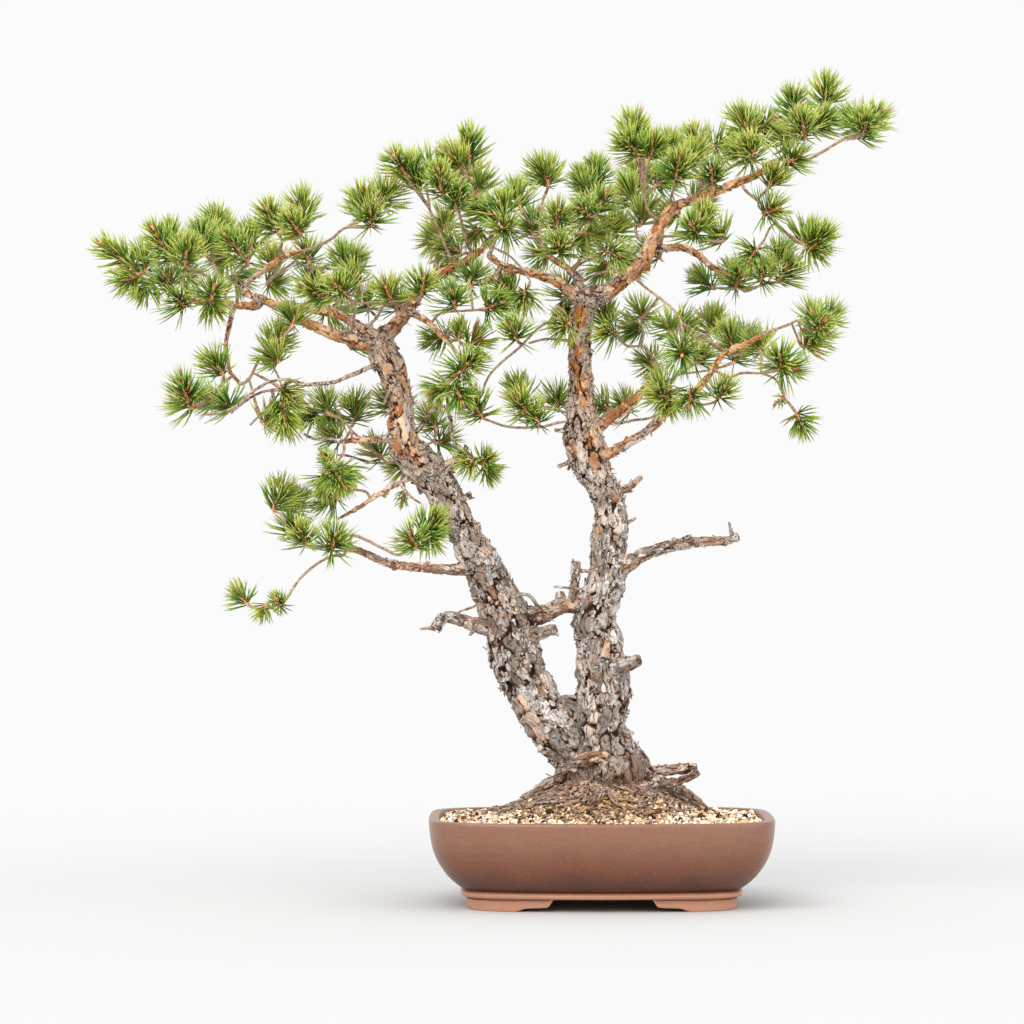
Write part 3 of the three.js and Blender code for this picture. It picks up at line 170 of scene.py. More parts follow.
# Sprays: (name, parent, stem points, depth at the stem's end, stem radius, shoots). Shoot: (foot x,
# foot y, tip x, tip y, foot depth, tip depth, points on the way, vigour), where the last two may be
# left out. The first shoot carries on from the stem's end, and None there leaves that end bare.
sprayRoutes = [
    ("far_left_tip", "limbAFar", [(176, 296), (158, 278), (141, 273)], -35, 1.9,
        [(134, 269, 99, 242, -40, -56), (146, 271, 142, 249, 8, 26), (169, 290, 165, 274, -64, -80),
        (140, 274, 119, 284, -58, -64), (152, 278, 142, 294, -10, -14)]),
    ("far_left_front", "limbAFar", [(217, 292), (213, 282), (200, 272)], -70, 1.7,
        [(172, 260, 151, 225, -84, -104, [(186, 264)]), (185, 266, 190, 239, -98, -122),
        (173, 258, 170, 223, -46, -36), (179, 276, 193, 276, 55, 61)]),
    ("far_left_back", "limbAFar", [(225, 295), (219, 278), (212, 262)], 60, 1.7,
        [(212, 251, 212, 228, 76, 88), (205, 253, 198, 225, 50, 62), (216, 235, 215, 212, 114, 130),
        (229, 254, 219, 264, 108, 114)]),
    ("left_middle", "limbAFar", [(237, 295), (236, 283), (239, 272)], -50, 1.7,
        [(248, 262, 223, 233, -72, -100), (251, 252, 253, 225, 96, 116, [(246, 264)]),
        (223, 240, 224, 218, 142, 160, [(242, 250)]), (233, 274, 243, 284, 83, 93)]),
    ("left_low", "limbAFar", [(208, 297), (198, 296)], -62, 1.5, [(186, 306, 175, 299, -72, -86),
        (211, 301, 214, 286, -84, -104), (208, 300, 216, 312, -40, -50)]),
    ("twist_side", "limbTwist", [(281, 250), (282, 240)], -24, 1.6, [(278, 233, 266, 207, -32, -54),
        (274, 271, 271, 252, 30, 34), (301, 235, 288, 217, -70, -92), (303, 224, 301, 194, -12, -6)]),
    ("twist_tip", "limbTwist", [(315, 247), (330, 240), (345, 228)], 0, 1.7,
        [(371, 226, 370, 210, -24, -44), (365, 216, 362, 190, 6, 10), (379, 206, 394, 184, 36, 46)]),
    ("twist_back", "limbTwist", [(296, 261), (312, 268), (328, 268)], 96, 1.6,
        [(343, 270, 342, 246, 116, 136), (309, 262, 305, 246, 62, 70), (347, 269, 361, 255, 84, 74),
        (267, 283, 281, 283, 127, 137), (307, 282, 313, 269, 135, 127)]),
    ("hang_left", "limbHang", [(222, 384), (211, 398)], -56, 1.6, [(194, 408, 177, 400, -66, -76),
        (191, 404, 181, 381, -88, -110), (214, 404, 198, 398, -16, 0), (223, 374, 209, 356, -62, -70),
        (232, 409, 222, 399, -70, -64)]),
    ("hang_right", "limbHang", [(249, 379), (260, 359)], -34, 1.6, [(273, 353, 283, 326, -26, -14),
        (282, 400, 288, 432, -52, -64, [(272, 366), (281, 384)]), (264, 425, 274, 415, -51, -41),
        (281, 388, 291, 398, -51, -59), (293, 325, 293, 311, -51, -45), (279, 362, 269, 352, -51, -45)]),
    ("limb_p_tip", "limbP", [(495, 228)], 44, 1.7, [(497, 217, 470, 205, 38, 22),
        (478, 194, 480, 174, 92, 104, [(490, 212)]), (472, 179, 465, 157, 130, 148, [(480, 214)])]),
    ("limb_p_up", "limbP", [(468, 246), (463, 228), (459, 208)], 14, 1.8,
        [(469, 164, 469, 132, 28, 24, [(462, 184)]), (455, 209, 460, 187, -24, -50),
        (443, 195, 438, 168, -32, -56), (464, 169, 447, 152, 8, 0), (480, 229, 470, 239, 40, 50)]),
    ("limb_p_left", "limbP", [(448, 252), (441, 236), (430, 210)], 32, 1.7, [(419, 190, 412, 160, 24, 14),
        (405, 174, 393, 154, 8, -4), (427, 171, 446, 158, 72, 88)]),
    ("limb_p_back", "limbP", [(436, 262), (440, 248)], 108, 1.6, [(447, 239, 425, 241, 122, 128),
        (445, 231, 445, 213, 152, 168), (461, 251, 443, 247, 84, 78), (436, 269, 450, 269, 135, 141)]),
    ("limb_p_low", "limbP", [(404, 302), (394, 300)], -14, 1.5, [(392, 300, 385, 286, -26, -34),
        (421, 295, 424, 277, -48, -66, [(410, 300)]), (396, 311, 402, 298, 44, 62)]),
    ("limb_p_hang", "limbP", [(402, 306), (388, 303), (374, 302), (356, 304)], -46, 1.6,
        [(329, 299, 304, 286, -62, -84, [(344, 302)]), (346, 295, 334, 283, -78, -100),
        (360, 283, 345, 272, 6, 24), (369, 310, 365, 296, 34, 50), (351, 349, 361, 339, 40, 46),
        (326, 310, 339, 316, 55, 47)]),
    ("limb_r_side", "limbR", [(446, 331), (454, 337)], 18, 1.5, [(459, 340, 459, 321, 30, 44, [], 0.7),
        (447, 336, 428, 339, 44, 58), (468, 345, 483, 338, -4, -8)]),
    ("limb_r_tip", "limbR", [(458, 354), (463, 362)], -44, 1.5, [(465, 366, 477, 359, -54, -66),
        (464, 369, 454, 375, -66, -84), (447, 384, 433, 394, -40, -44), (456, 385, 463, 404, -78, -88)]),
    ("limb_r_right", "limbR", [(441, 313), (462, 311), (476, 310)], -34, 1.5,
        [(486, 308, 503, 302, -46, -64), (455, 308, 453, 292, -42, -58), (471, 286, 475, 269, 16, 34),
        (512, 299, 500, 279, -14, -22, [(500, 310)])]),
    ("limb_c_tip", "limbC", [(493, 247), (497, 236)], -46, 1.6, [(504, 216, 502, 198, -44, -48),
        (525, 290, 524, 305, -56, -72, [(512, 258), (530, 281)])]),
    ("middle_high", "limbMid", [(541, 241), (540, 222), (543, 200)], 58, 1.7,
        [(548, 183, 536, 163, 62, 56), (548, 186, 549, 162, 84, 98), (533, 234, 531, 213, 84, 102),
        (508, 231, 501, 227, -42, -78, [(530, 238), (518, 232)]),
        (521, 208, 516, 184, 10, 22, [(530, 222)]), (549, 254, 535, 254, 95, 87)]),
    ("middle_right", "limbMid", [(556, 243), (568, 234)], 0, 1.6, [(589, 218, 578, 208, -30, -52),
        (557, 232, 559, 208, -36, -60), (596, 215, 607, 192, -8, -18), (585, 233, 603, 236, 16, 24),
        (572, 243, 586, 243, 40, 50)]),
    ("middle_back", "limbMid", [(581, 258), (588, 228)], 96, 1.7,
        [(589, 194, 577, 170, 122, 138, [(588, 204)]), (599, 185, 593, 159, 146, 164, [(592, 206)]),
        (607, 233, 617, 223, 135, 141), (612, 238, 622, 218, 135, 145)]),
    ("middle_low", "limbMid", [(579, 265), (592, 258)], -44, 1.5, [(605, 251, 621, 256, -56, -74),
        (560, 254, 558, 243, -58, -92, [(576, 256)])]),
    ("right_tall_front", "limbRight", [(650, 214), (643, 190)], -16, 1.8,
        [(639, 155, 621, 138, -36, -60, [(640, 168)]), (634, 140, 632, 117, -8, -6, [(640, 168)]),
        (643, 153, 641, 133, 26, 42), (649, 159, 658, 139, -14, -22)]),
    ("right_tall_back", "limbRight", [(638, 238), (635, 216)], 72, 1.7, [(635, 206, 626, 178, 92, 108),
        (647, 184, 635, 163, 128, 146), (641, 225, 648, 203, 40, 50), (655, 186, 675, 171, 108, 126)]),
    ("right_up_left", "limbRight", [(671, 200), (674, 188)], -46, 1.6, [(676, 180, 680, 156, -58, -82),
        (687, 169, 700, 142, -30, -22), (675, 159, 669, 135, 4, 16), (679, 214, 665, 214, 55, 61)]),
    ("right_up", "limbRight", [(702, 184), (704, 170)], 6, 1.6, [(701, 154, 690, 128, 24, 34),
        (713, 185, 711, 169, -50, -68), (712, 147, 736, 141, 72, 88), (693, 206, 703, 196, 43, 49)]),
    ("right_short", "limbRight", [(662, 236), (680, 236), (690, 238)], -84, 1.6,
        [(697, 236, 690, 224, -96, -120), (705, 226, 705, 208, -86, -102), (659, 258, 649, 248, 40, 50),
        (724, 241, 714, 231, 55, 61)]),
    ("right_over", "limbRight", [(751, 164), (750, 150)], -16, 1.6, [(749, 135, 739, 111, -20, -16),
        (753, 161, 730, 146, -54, -82), (754, 156, 748, 140, -96, -118), (753, 136, 774, 119, 42, 60)]),
    ("right_top", "limbRight", [(787, 153), (796, 140)], -6, 1.8, [(805, 138, 800, 113, -28, -46),
        (794, 122, 793, 90, 8, 6), (791, 144, 776, 132, 30, 46), (811, 130, 833, 116, 30, 22),
        (824, 108, 828, 80, 60, 62, [(814, 126)])]),
    ("right_far", "limbRight", [(775, 176), (790, 170), (822, 152), (845, 138)], 14, 1.8,
        [(863, 128, 847, 114, 44, 60), (868, 127, 881, 110, 14, 8, [(862, 130)]),
        (864, 133, 864, 116, -20, -42), (856, 138, 870, 129, 66, 76), (786, 164, 800, 156, -26, -38)]),
    ("right_inner", "limbRight", [(745, 190), (757, 200), (770, 214), (785, 232)], -44, 1.6,
        [(801, 243, 813, 231, -40, -34), (811, 248, 827, 229, -62, -82, [(800, 242)]),
        (806, 246, 823, 253, -58, -58), (769, 187, 777, 171, -26, -34), (764, 214, 779, 208, -62, -76),
        (757, 249, 750, 260, -72, -86, [(770, 228), (764, 240)])]),
    ("right_low_right", "limbS", [(756, 287), (768, 283)], 16, 1.7, [(778, 281, 791, 262, 2, -10),
        (777, 263, 784, 247, 66, 82), (761, 281, 762, 265, -28, -46)]),
    ("right_low_left", "limbS", [(728, 288), (717, 288)], 58, 1.6, [(712, 288, 696, 275, 78, 92),
        (740, 277, 724, 271, 78, 92), (736, 287, 740, 269, -14, -34)]),
    ("long_thin", "limbMid", [(594, 275), (607, 272), (628, 275), (650, 291), (674, 310), (681, 322)], -84,
        1.4, [(682, 348, 682, 356, -92, -124), (672, 335, 665, 321, -44, -30),
        (641, 319, 642, 308, -16, 2), (733, 350, 728, 328, -34, -28, [(705, 338), (724, 350)]),
        (742, 352, 748, 332, -8, 2, [(724, 352)]), (709, 334, 715, 312, 52, 66, [(696, 338)]),
        (608, 263, 598, 273, 28, 38), (622, 265, 636, 265, 55, 47), (678, 326, 692, 326, 40, 50)]),
    ("inner_left", "rightTrunk", [(562, 318), (541, 326), (519, 348), (503, 361), (489, 376), (482, 393)],
        -62, 1.5, [None, (517, 340, 511, 323, -66, -88), (565, 299, 567, 283, 26, 44),
        (570, 322, 560, 331, -34, -46), (559, 305, 569, 315, 28, 20)]),
    ("lower_left_twig", "rightTrunk", [(562, 422), (540, 427), (509, 427), (490, 421)], -48, 1.5,
        [(482, 417, 471, 399, -56, -72), (527, 413, 517, 398, -56, -76), (539, 424, 532, 409, -40, -58)]),
    ("upper_left_twig", "rightTrunk", [(565, 412), (551, 407), (532, 406)], 28, 1.4,
        [(524, 402, 515, 382, 36, 40), (558, 410, 558, 393, 38, 48)]),
    ("limb_b_side", "limbB", [(607, 414), (610, 408)], 44, 1.5, [(609, 408, 593, 404, 54, 68),
        (630, 412, 620, 400, 84, 100)]),
    ("limb_b_tip", "limbB", [(653, 358), (643, 347), (627, 346)], 12, 1.6, [(615, 332, 601, 333, -18, -34),
        (606, 326, 606, 308, 8, 16), (655, 366, 645, 358, 78, 92), (642, 330, 628, 330, 78, 84)]),
    ("limb_b_right", "limbB", [(665, 381), (680, 374)], 38, 1.5, [(695, 363, 706, 353, 34, 22),
        (734, 362, 740, 352, 58, 68, [(710, 370)])]),
    ("limb_k_tip", "limbK", [(785, 326), (800, 320)], -80, 1.6, [(824, 324, 834, 310, -76, -70, [], 0.9),
        (815, 333, 825, 319, -98, -122, [], 0.9), (814, 324, 812, 312, -62, -50, [], 0.9),
        (803, 347, 817, 341, -48, -56, [(796, 334)]), (814, 341, 824, 332, -22, -8, [(802, 330)])]),
    ("limb_k_low", "limbK", [(728, 377), (742, 373), (762, 373)], -96, 1.6,
        [(781, 370, 796, 369, -108, -124), (781, 368, 779, 354, -122, -146),
        (761, 352, 758, 341, -62, -50), (797, 414, 805, 430, -88, -96, [(776, 380), (785, 398)], 0.9),
        (784, 396, 776, 404, -66, -58, [(776, 380)], 0.3)]),
    ("limb_k_side", "limbK", [(700, 404), (712, 403)], -82, 1.5, [(718, 399, 726, 385, -92, -108),
        (691, 392, 689, 406, -96, -110)]),
    ("limb_k_left", "limbK", [(682, 395), (674, 392)], -30, 1.5, [(669, 386, 655, 377, -18, -8),
        (667, 397, 654, 395, -84, -98), (665, 393, 669, 409, -70, -84)]),
    ("limb_e_up", "limbE", [(351, 430), (340, 418)], 8, 1.5, [(328, 413, 324, 396, 22, 32),
        (354, 422, 357, 396, 50, 64), (340, 442, 324, 430, 30, 44, [], 0.8), (382, 458, 373, 444, 60, 74),
        (316, 412, 303, 417, 68, 60), (337, 412, 327, 422, 96, 88)]),
    ("limb_e_down", "limbE", [(344, 451), (336, 464)], -52, 1.6, [(328, 476, 327, 492, -58, -68),
        (343, 466, 344, 482, -24, -14), (324, 470, 336, 480, -84, -100, [], 0.8),
        (332, 464, 323, 453, -46, -40, [], 0.5), (335, 471, 345, 487, -92, -108)]),
    ("limb_f_side", "limbF", [(366, 492), (354, 490)], -2, 1.5, [(343, 491, 333, 479, 8, 20),
        (337, 497, 323, 503, 26, 38)]),
    ("trunk_left_high", "leftTrunk", [(396, 420), (392, 414)], 40, 1.5, [(392, 410, 385, 395, 50, 62),
        (400, 407, 396, 391, 84, 98)]),
    ("trunk_left_back", "leftTrunk", [(408, 470), (402, 474)], 46, 1.5, [(407, 468, 393, 464, 52, 60),
        (404, 490, 402, 505, 84, 96, [], 0.4)]),
    ("trunk_right_back", "leftTrunk", [(424, 446), (434, 440)], 56, 1.5, [(436, 428, 427, 414, 62, 76),
        (436, 443, 450, 438, 74, 88)]),
    ("trunk_star", "stubV", [(472, 456), (477, 460)], -26, 1.5, [(482, 464, 489, 455, -36, -56, [], 0.8),
        (474, 459, 467, 467, -44, -54, [], 0.8), (484, 466, 490, 476, -18, -12, [], 0.8)]),
    ("low_left_tip", "limbM", [(328, 546), (317, 548), (306, 546)], -48, 1.7,
        [(307, 545, 300, 531, -56, -72), (331, 551, 336, 534, -74, -98, [(328, 544)]),
        (295, 536, 291, 522, -20, -14), (273, 509, 287, 485, -20, -12, [(288, 532), (281, 514)]),
        (289, 512, 302, 495, 20, 36, [(290, 530)])]),
    ("low_left_hang", "limbM", [(344, 555), (332, 556), (314, 566), (299, 580), (288, 596)], -92, 1.6,
        [(280, 606, 275, 598, -98, -128, [], 0.6),
        (247, 604, 236, 590, -60, -52, [(274, 606), (259, 609)], 0.8),
        (266, 604, 262, 614, -80, -76, [], 0.6)]),
    ("low_left_over", "limbM", [(352, 536), (364, 539), (382, 548), (399, 555), (410, 548)], -70, 1.7,
        [(423, 534, 439, 515, -80, -96), (416, 548, 409, 533, -96, -114), (424, 532, 436, 541, -66, -70)]),
]


def hexToLinear(hexColour):
    channels = [int(hexColour[i:i + 2], 16) / 255 for i in (1, 3, 5)]
    linear = [c / 12.92 if c <= 0.04045 else ((c + 0.055) / 1.055) ** 2.4 for c in channels]
    return (*linear, 1.0)


# Adds a node and gives its outputs: settings and links are by input name or number, or by attribute
def addNode(tree, kind, settings=None, links=None):
    node = tree.nodes.new("ShaderNode" + kind)
    for key, value in (settings or {}).items():
        if key == "stops":
            ramp = node.color_ramp.elements
            while len(ramp) < len(value):
                ramp.new(1.0)
            for stop, (position, hexColour) in zip(ramp, value):
                stop.position = position
                stop.color = hexToLinear(hexColour)
        elif isinstance(key, int) or key in node.inputs:
            node.inputs[key].default_value = hexToLinear(value) if str(value).startswith("#") else value
        else:
            setattr(node, key, value)
    for key, socket in (links or {}).items():
        tree.links.new(socket, node.inputs[key])
    return node.outputs


def addObject(name, data):
    item = bpy.data.objects.new(name, data)
    bpy.context.scene.collection.objects.link(item)
    return item


def meshFrom(name, source):
    mesh = bpy.data.meshes.new(name)
    source.to_mesh(mesh)
    source.free()
    return mesh


def newMaterial(name):
    material = bpy.data.materials.new(name)
    material.use_nodes = True
    material.node_tree.nodes.clear()
    return material, material.node_tree


def readTone(tree):
    tone = addNode(tree, "Attribute", {"attribute_name": "tone"})
    return addNode(tree, "SeparateColor", links={"Color": tone["Color"]})


# The end of a material: its relief, if it has one, its surface and the output
def closeSurface(tree, colour, settings, relief=None, height=None):
    links = {"Base Color": colour}
    if relief:
        links["Normal"] = addNode(tree, "Bump", relief, {"Height": height})["Normal"]
    shader = addNode(tree, "BsdfPrincipled", settings, links)
    addNode(tree, "OutputMaterial", links={"Surface": shader["BSDF"]})


def fromView(x, y, depth):
    size = reference["unit"] * (1 + depth * mm / reference["eyeDistance"])
    return np.array([
        reference["eyeX"] + (x - reference["centre"]) * size + shiftX,
        depth * mm + shiftY,
        reference["eyeHeight"] + (reference["centre"] - y) * size,
    ])


def unit(vectors):
    return vectors / np.maximum(np.linalg.norm(vectors, axis=-1, keepdims=True), 1e-12)


# Stations of a route: rows of view x, view y, depth in mm and radius in m
def stationsAlong(points, startDepth, endDepth, startRadius, endRadius):
    flat = np.array([point[:2] for point in points], float)
    lengths = np.concatenate([[0], np.cumsum(np.linalg.norm(np.diff(flat, axis=0), axis=1))])
    share = (lengths / lengths[-1])[:, None]
    depth = startDepth + (endDepth - startDepth) * share
    radius = reference["unit"] * (startRadius + (endRadius - startRadius) * share)
    return np.hstack([flat, depth, radius])


def nearestStation(stations, x, y):
    best = None
    for i in range(len(stations) - 1):
        a, b = stations[i], stations[i + 1]
        span = b[:2] - a[:2]
        t = np.clip(np.dot([x - a[0], y - a[1]], span) / (np.dot(span, span) + 1e-9), 0, 1)
        station = a + (b - a) * t
        gap = math.hypot(x - station[0], y - station[1])
        if best is None or gap < best[0]:
            best = (gap, station, i, t)
    return best[1], best[2], best[3]


# A smooth path through points, as evenly spaced places with a radius and two side directions
def smoothPath(points, radii, step):
    points, radii = np.array(points, float), np.array(radii, float)
    gaps = np.maximum(np.linalg.norm(np.diff(points, axis=0), axis=1), 1e-6)
    slopes = np.zeros_like(points)
    slopes[1:-1] = (points[2:] - points[:-2]) / (gaps[1:] + gaps[:-1])[:, None]
    slopes[0] = (points[1] - points[0]) / gaps[0]
    slopes[-1] = (points[-1] - points[-2]) / gaps[-1]
    places, widths = [], []
    for i, gap in enumerate(gaps):
        for t in np.linspace(0, 1, 10, endpoint=False):
            a, b = 2 * t ** 3 - 3 * t ** 2 + 1, t ** 3 - 2 * t ** 2 + t
            c, d = -2 * t ** 3 + 3 * t ** 2, t ** 3 - t ** 2
            bend = gap * (b * slopes[i] + d * slopes[i + 1])
            places.append(a * points[i] + c * points[i + 1] + bend)
            widths.append(radii[i] + (radii[i + 1] - radii[i]) * t)
    places, widths = np.array(places + [points[-1]]), np.array(widths + [radii[-1]])
    run = np.concatenate([[0], np.cumsum(np.linalg.norm(np.diff(places, axis=0), axis=1))])
    count = max(2, round(run[-1] / step))
    along = np.linspace(0, run[-1], count + 1)
    centre = np.stack([np.interp(along, run, places[:, k]) for k in range(3)], axis=1)
    tangent = unit(np.gradient(centre, axis=0))
    side = np.zeros_like(centre)
    carried = np.array([0.0, 1.0, 0.0])
    for i in range(len(centre)):
        carried = carried - tangent[i] * np.dot(carried, tangent[i])
        carried = carried / np.linalg.norm(carried)
        side[i] = carried
    return {
        "along": along, "centre": centre, "radius": np.interp(along, run, widths),
        "tangent": tangent, "side": side, "third": np.cross(tangent, side),
    }


# Where the surface of a path is: along in m, turn in rad, lift in m over the path's radius
def onPath(path, along, turn, lift=0.0):
    def read(key):
        value = path[key]
        if value.ndim == 1:
            return np.interp(along, path["along"], value)
        return np.stack([np.interp(along, path["along"], value[:, k]) for k in range(3)], axis=-1)

    outward = unit(read("side") * np.cos(turn)[..., None] + read("third") * np.sin(turn)[..., None])
    reach = read("radius") + lift
    return read("centre") + outward * reach[..., None], outward, unit(read("tangent"))


# A flat grid is rolled up into a closed skin: place(u, v) gives its points, and if it likes a tone
# for each, and its place along and round the branch. Loose ends are closed with a face.
def rollSkin(target, around, along, place):
    verts = bmesh.ops.create_grid(target, x_segments=around, y_segments=along, size=1)["verts"]
    flat = np.array([vert.co[:2] for vert in verts])
    u, v = np.clip((flat[:, 0] + 1) / 2, 0, 1), np.clip((flat[:, 1] + 1) / 2, 0, 1)
    result = place(u, v)
    points, tones, rolled = result if isinstance(result, tuple) else (result, None, result)
    toneLayer = target.verts.layers.float_color["tone"]
    rolledLayer = target.verts.layers.float_vector["rolled"]
    for i, vert in enumerate(verts):
        vert.co = points[i]
        vert[rolledLayer] = rolled[i]
        if tones is not None:
            vert[toneLayer] = tones[i]
    bmesh.ops.remove_doubles(target, verts=verts, dist=1e-7)
    verts = [vert for vert in verts if vert.is_valid]
    rims = {edge for vert in verts for edge in vert.link_edges if edge.is_boundary}
    if rims:
        bmesh.ops.holes_fill(target, edges=list(rims), sides=0)
    faces = list({face for vert in verts for face in vert.link_faces})
    bmesh.ops.recalc_face_normals(target, faces=faces)
    return verts


# The bare lists of a finished bmesh, so that many copies can be laid out at once
def takeArrays(source, slotIndex=0):
    source.verts.index_update()
    tone, rolled = source.verts.layers.float_color["tone"], source.verts.layers.float_vector["rolled"]
    corners = [vert.index for face in source.faces for vert in face.verts]
    arrays = {
        "points": np.array([vert.co[:] for vert in source.verts], float).reshape(-1, 3),
        "tones": np.array([tuple(vert[tone]) for vert in source.verts], float).reshape(-1, 4),
        "rolled": np.array([vert[rolled][:] for vert in source.verts], float).reshape(-1, 3),
        "corners": np.array(corners, int),
        "sizes": np.array([len(face.verts) for face in source.faces], int),
        "slots": np.full(len(source.faces), slotIndex, int),
    }
    source.free()
    return arrays


# Copies of a template: axes holds a 3x3 matrix for each copy (columns are the template's x, y, z)
def layCopies(template, axes, places, tones):
    count, size = len(places), len(template["points"])
    points = np.einsum("nij,vj->nvi", axes, template["points"]) + places[:, None, :]
    blended = np.repeat(template["tones"][None, :, :], count, axis=0)
    blended[:, :, 1:3] = tones[:, None, :]
    corners = template["corners"][None, :] + (np.arange(count) * size)[:, None]
    return {
        "points": points.reshape(-1, 3), "tones": blended.reshape(-1, 4), "rolled": points.reshape(-1, 3),
        "corners": corners.ravel(),
        "sizes": np.tile(template["sizes"], count), "slots": np.tile(template["slots"], count),
    }


# Copies of several templates: kinds says which one stands at each place
def layKinds(shapes, kinds, axes, places, tones):
    for k, shape in enumerate(shapes):
        chosen = kinds == k
        if chosen.any():
            yield layCopies(shape, axes[chosen], places[chosen], tones[chosen]), places[chosen]


# Headings that fan out from an axis, each turned round it and leant away from it
def fanOut(axis, hint, turn, lean):
    across = unit(np.cross(axis, hint))
    third = np.cross(axis, across)
    outward = across * np.cos(turn)[:, None] + third * np.sin(turn)[:, None]
    return outward, axis * np.cos(lean)[:, None] + outward * np.sin(lean)[:, None]


def axesFor(side, heading, width, length):
    return np.stack([side * width[:, None], np.cross(heading, side) * width[:, None],
                     heading * length[:, None]], axis=2)


def joinArrays(parts):
    offset, corners = 0, []
    for part in parts:
        corners.append(part["corners"] + offset)
        offset += len(part["points"])
    joined = {key: np.concatenate([part[key] for part in parts]) for key in parts[0] if key != "corners"}
    joined["corners"] = np.concatenate(corners)
    return joined


def makePiece(name, arrays, materials, replaced=(), sharpAngle=None):
    mesh = bpy.data.meshes.new(name)
    mesh.vertices.add(len(arrays["points"]))
    mesh.vertices.foreach_set("co", arrays["points"].astype(np.float32).ravel())
    mesh.loops.add(len(arrays["corners"]))
    mesh.loops.foreach_set("vertex_index", arrays["corners"].astype(np.int32))
    starts = np.concatenate([[0], np.cumsum(arrays["sizes"])[:-1]]).astype(np.int32)
    mesh.polygons.add(len(starts))
    mesh.polygons.foreach_set("loop_start", starts)
    mesh.polygons.foreach_set("material_index", arrays["slots"].astype(np.int32))
    mesh.polygons.foreach_set("use_smooth", np.full(len(starts), sharpAngle is not None, bool))
    mesh.update(calc_edges=True)
    mesh.validate()
    tone = mesh.attributes.new("tone", "FLOAT_COLOR", "POINT")
    tone.data.foreach_set("color", arrays["tones"].astype(np.float32).ravel())
    rolled = mesh.attributes.new("rolled", "FLOAT_VECTOR", "POINT")
    rolled.data.foreach_set("vector", arrays["rolled"].astype(np.float32).ravel())
    if sharpAngle is not None and sharpAngle < 180:
        mesh.set_sharp_from_angle(angle=math.radians(sharpAngle))
    for material in materials:
        mesh.materials.append(material)
    piece = addObject(name, mesh)
    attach(piece, "root")
    if replaced:
        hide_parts(*replaced)
    pieceCounts[name] = int((arrays["sizes"] - 2).sum())
    return piece


def newSkinMesh():
    skin = bmesh.new()
    skin.verts.layers.float_color.new("tone")
    skin.verts.layers.float_vector.new("rolled")
    return skin


def inCamel(name):
    words = name.split("_")
    return words[0] + "".join(word.capitalize() for word in words[1:])


pieceCounts = {}
rng = np.random.default_rng(20)
noise.seed_set(20)   # noise_vector draws its offsets from the clock otherwise
print("stage: frame and tools ready")


barkLook = {
    # Crack colour: near black, partly the deep brown inner bark and partly painted shade deep in the
    # cracks
    "crack": "#150e08", "fresh": "#7a5038",
    "plates": [(0.0, "#8a8078"), (0.5, "#c4bab2"), (1.0, "#f5f0eb")],
    "tint": "#dcbda6", "moss": "#a8a488", "foot": "#77573f", "footFrom": 0.2, "footTo": 0.15,
    "footShare": 0.72, "brightFrom": 0.4, "brightTo": 0.62,
    "orange": [(0.0, "#c67e46"), (0.5, "#f4b880"), (1.0, "#ffe6c8")],
    "tan": [(0.0, "#9c765b"), (0.5, "#d3ad8e"), (1.0, "#f1dbc6")],
    "streakWidth": 2.4 * mm, "grainSize": 0.7 * mm, "patchSize": 22 * mm, "tintSize": 10 * mm,
    "sheetSize": 18 * mm, "sheetSteps": 8.0, "scaleSize": 11 * mm, "sway": 9 * mm,
    "reliefDepth": 1.8 * mm, "roughness": 0.8,
}
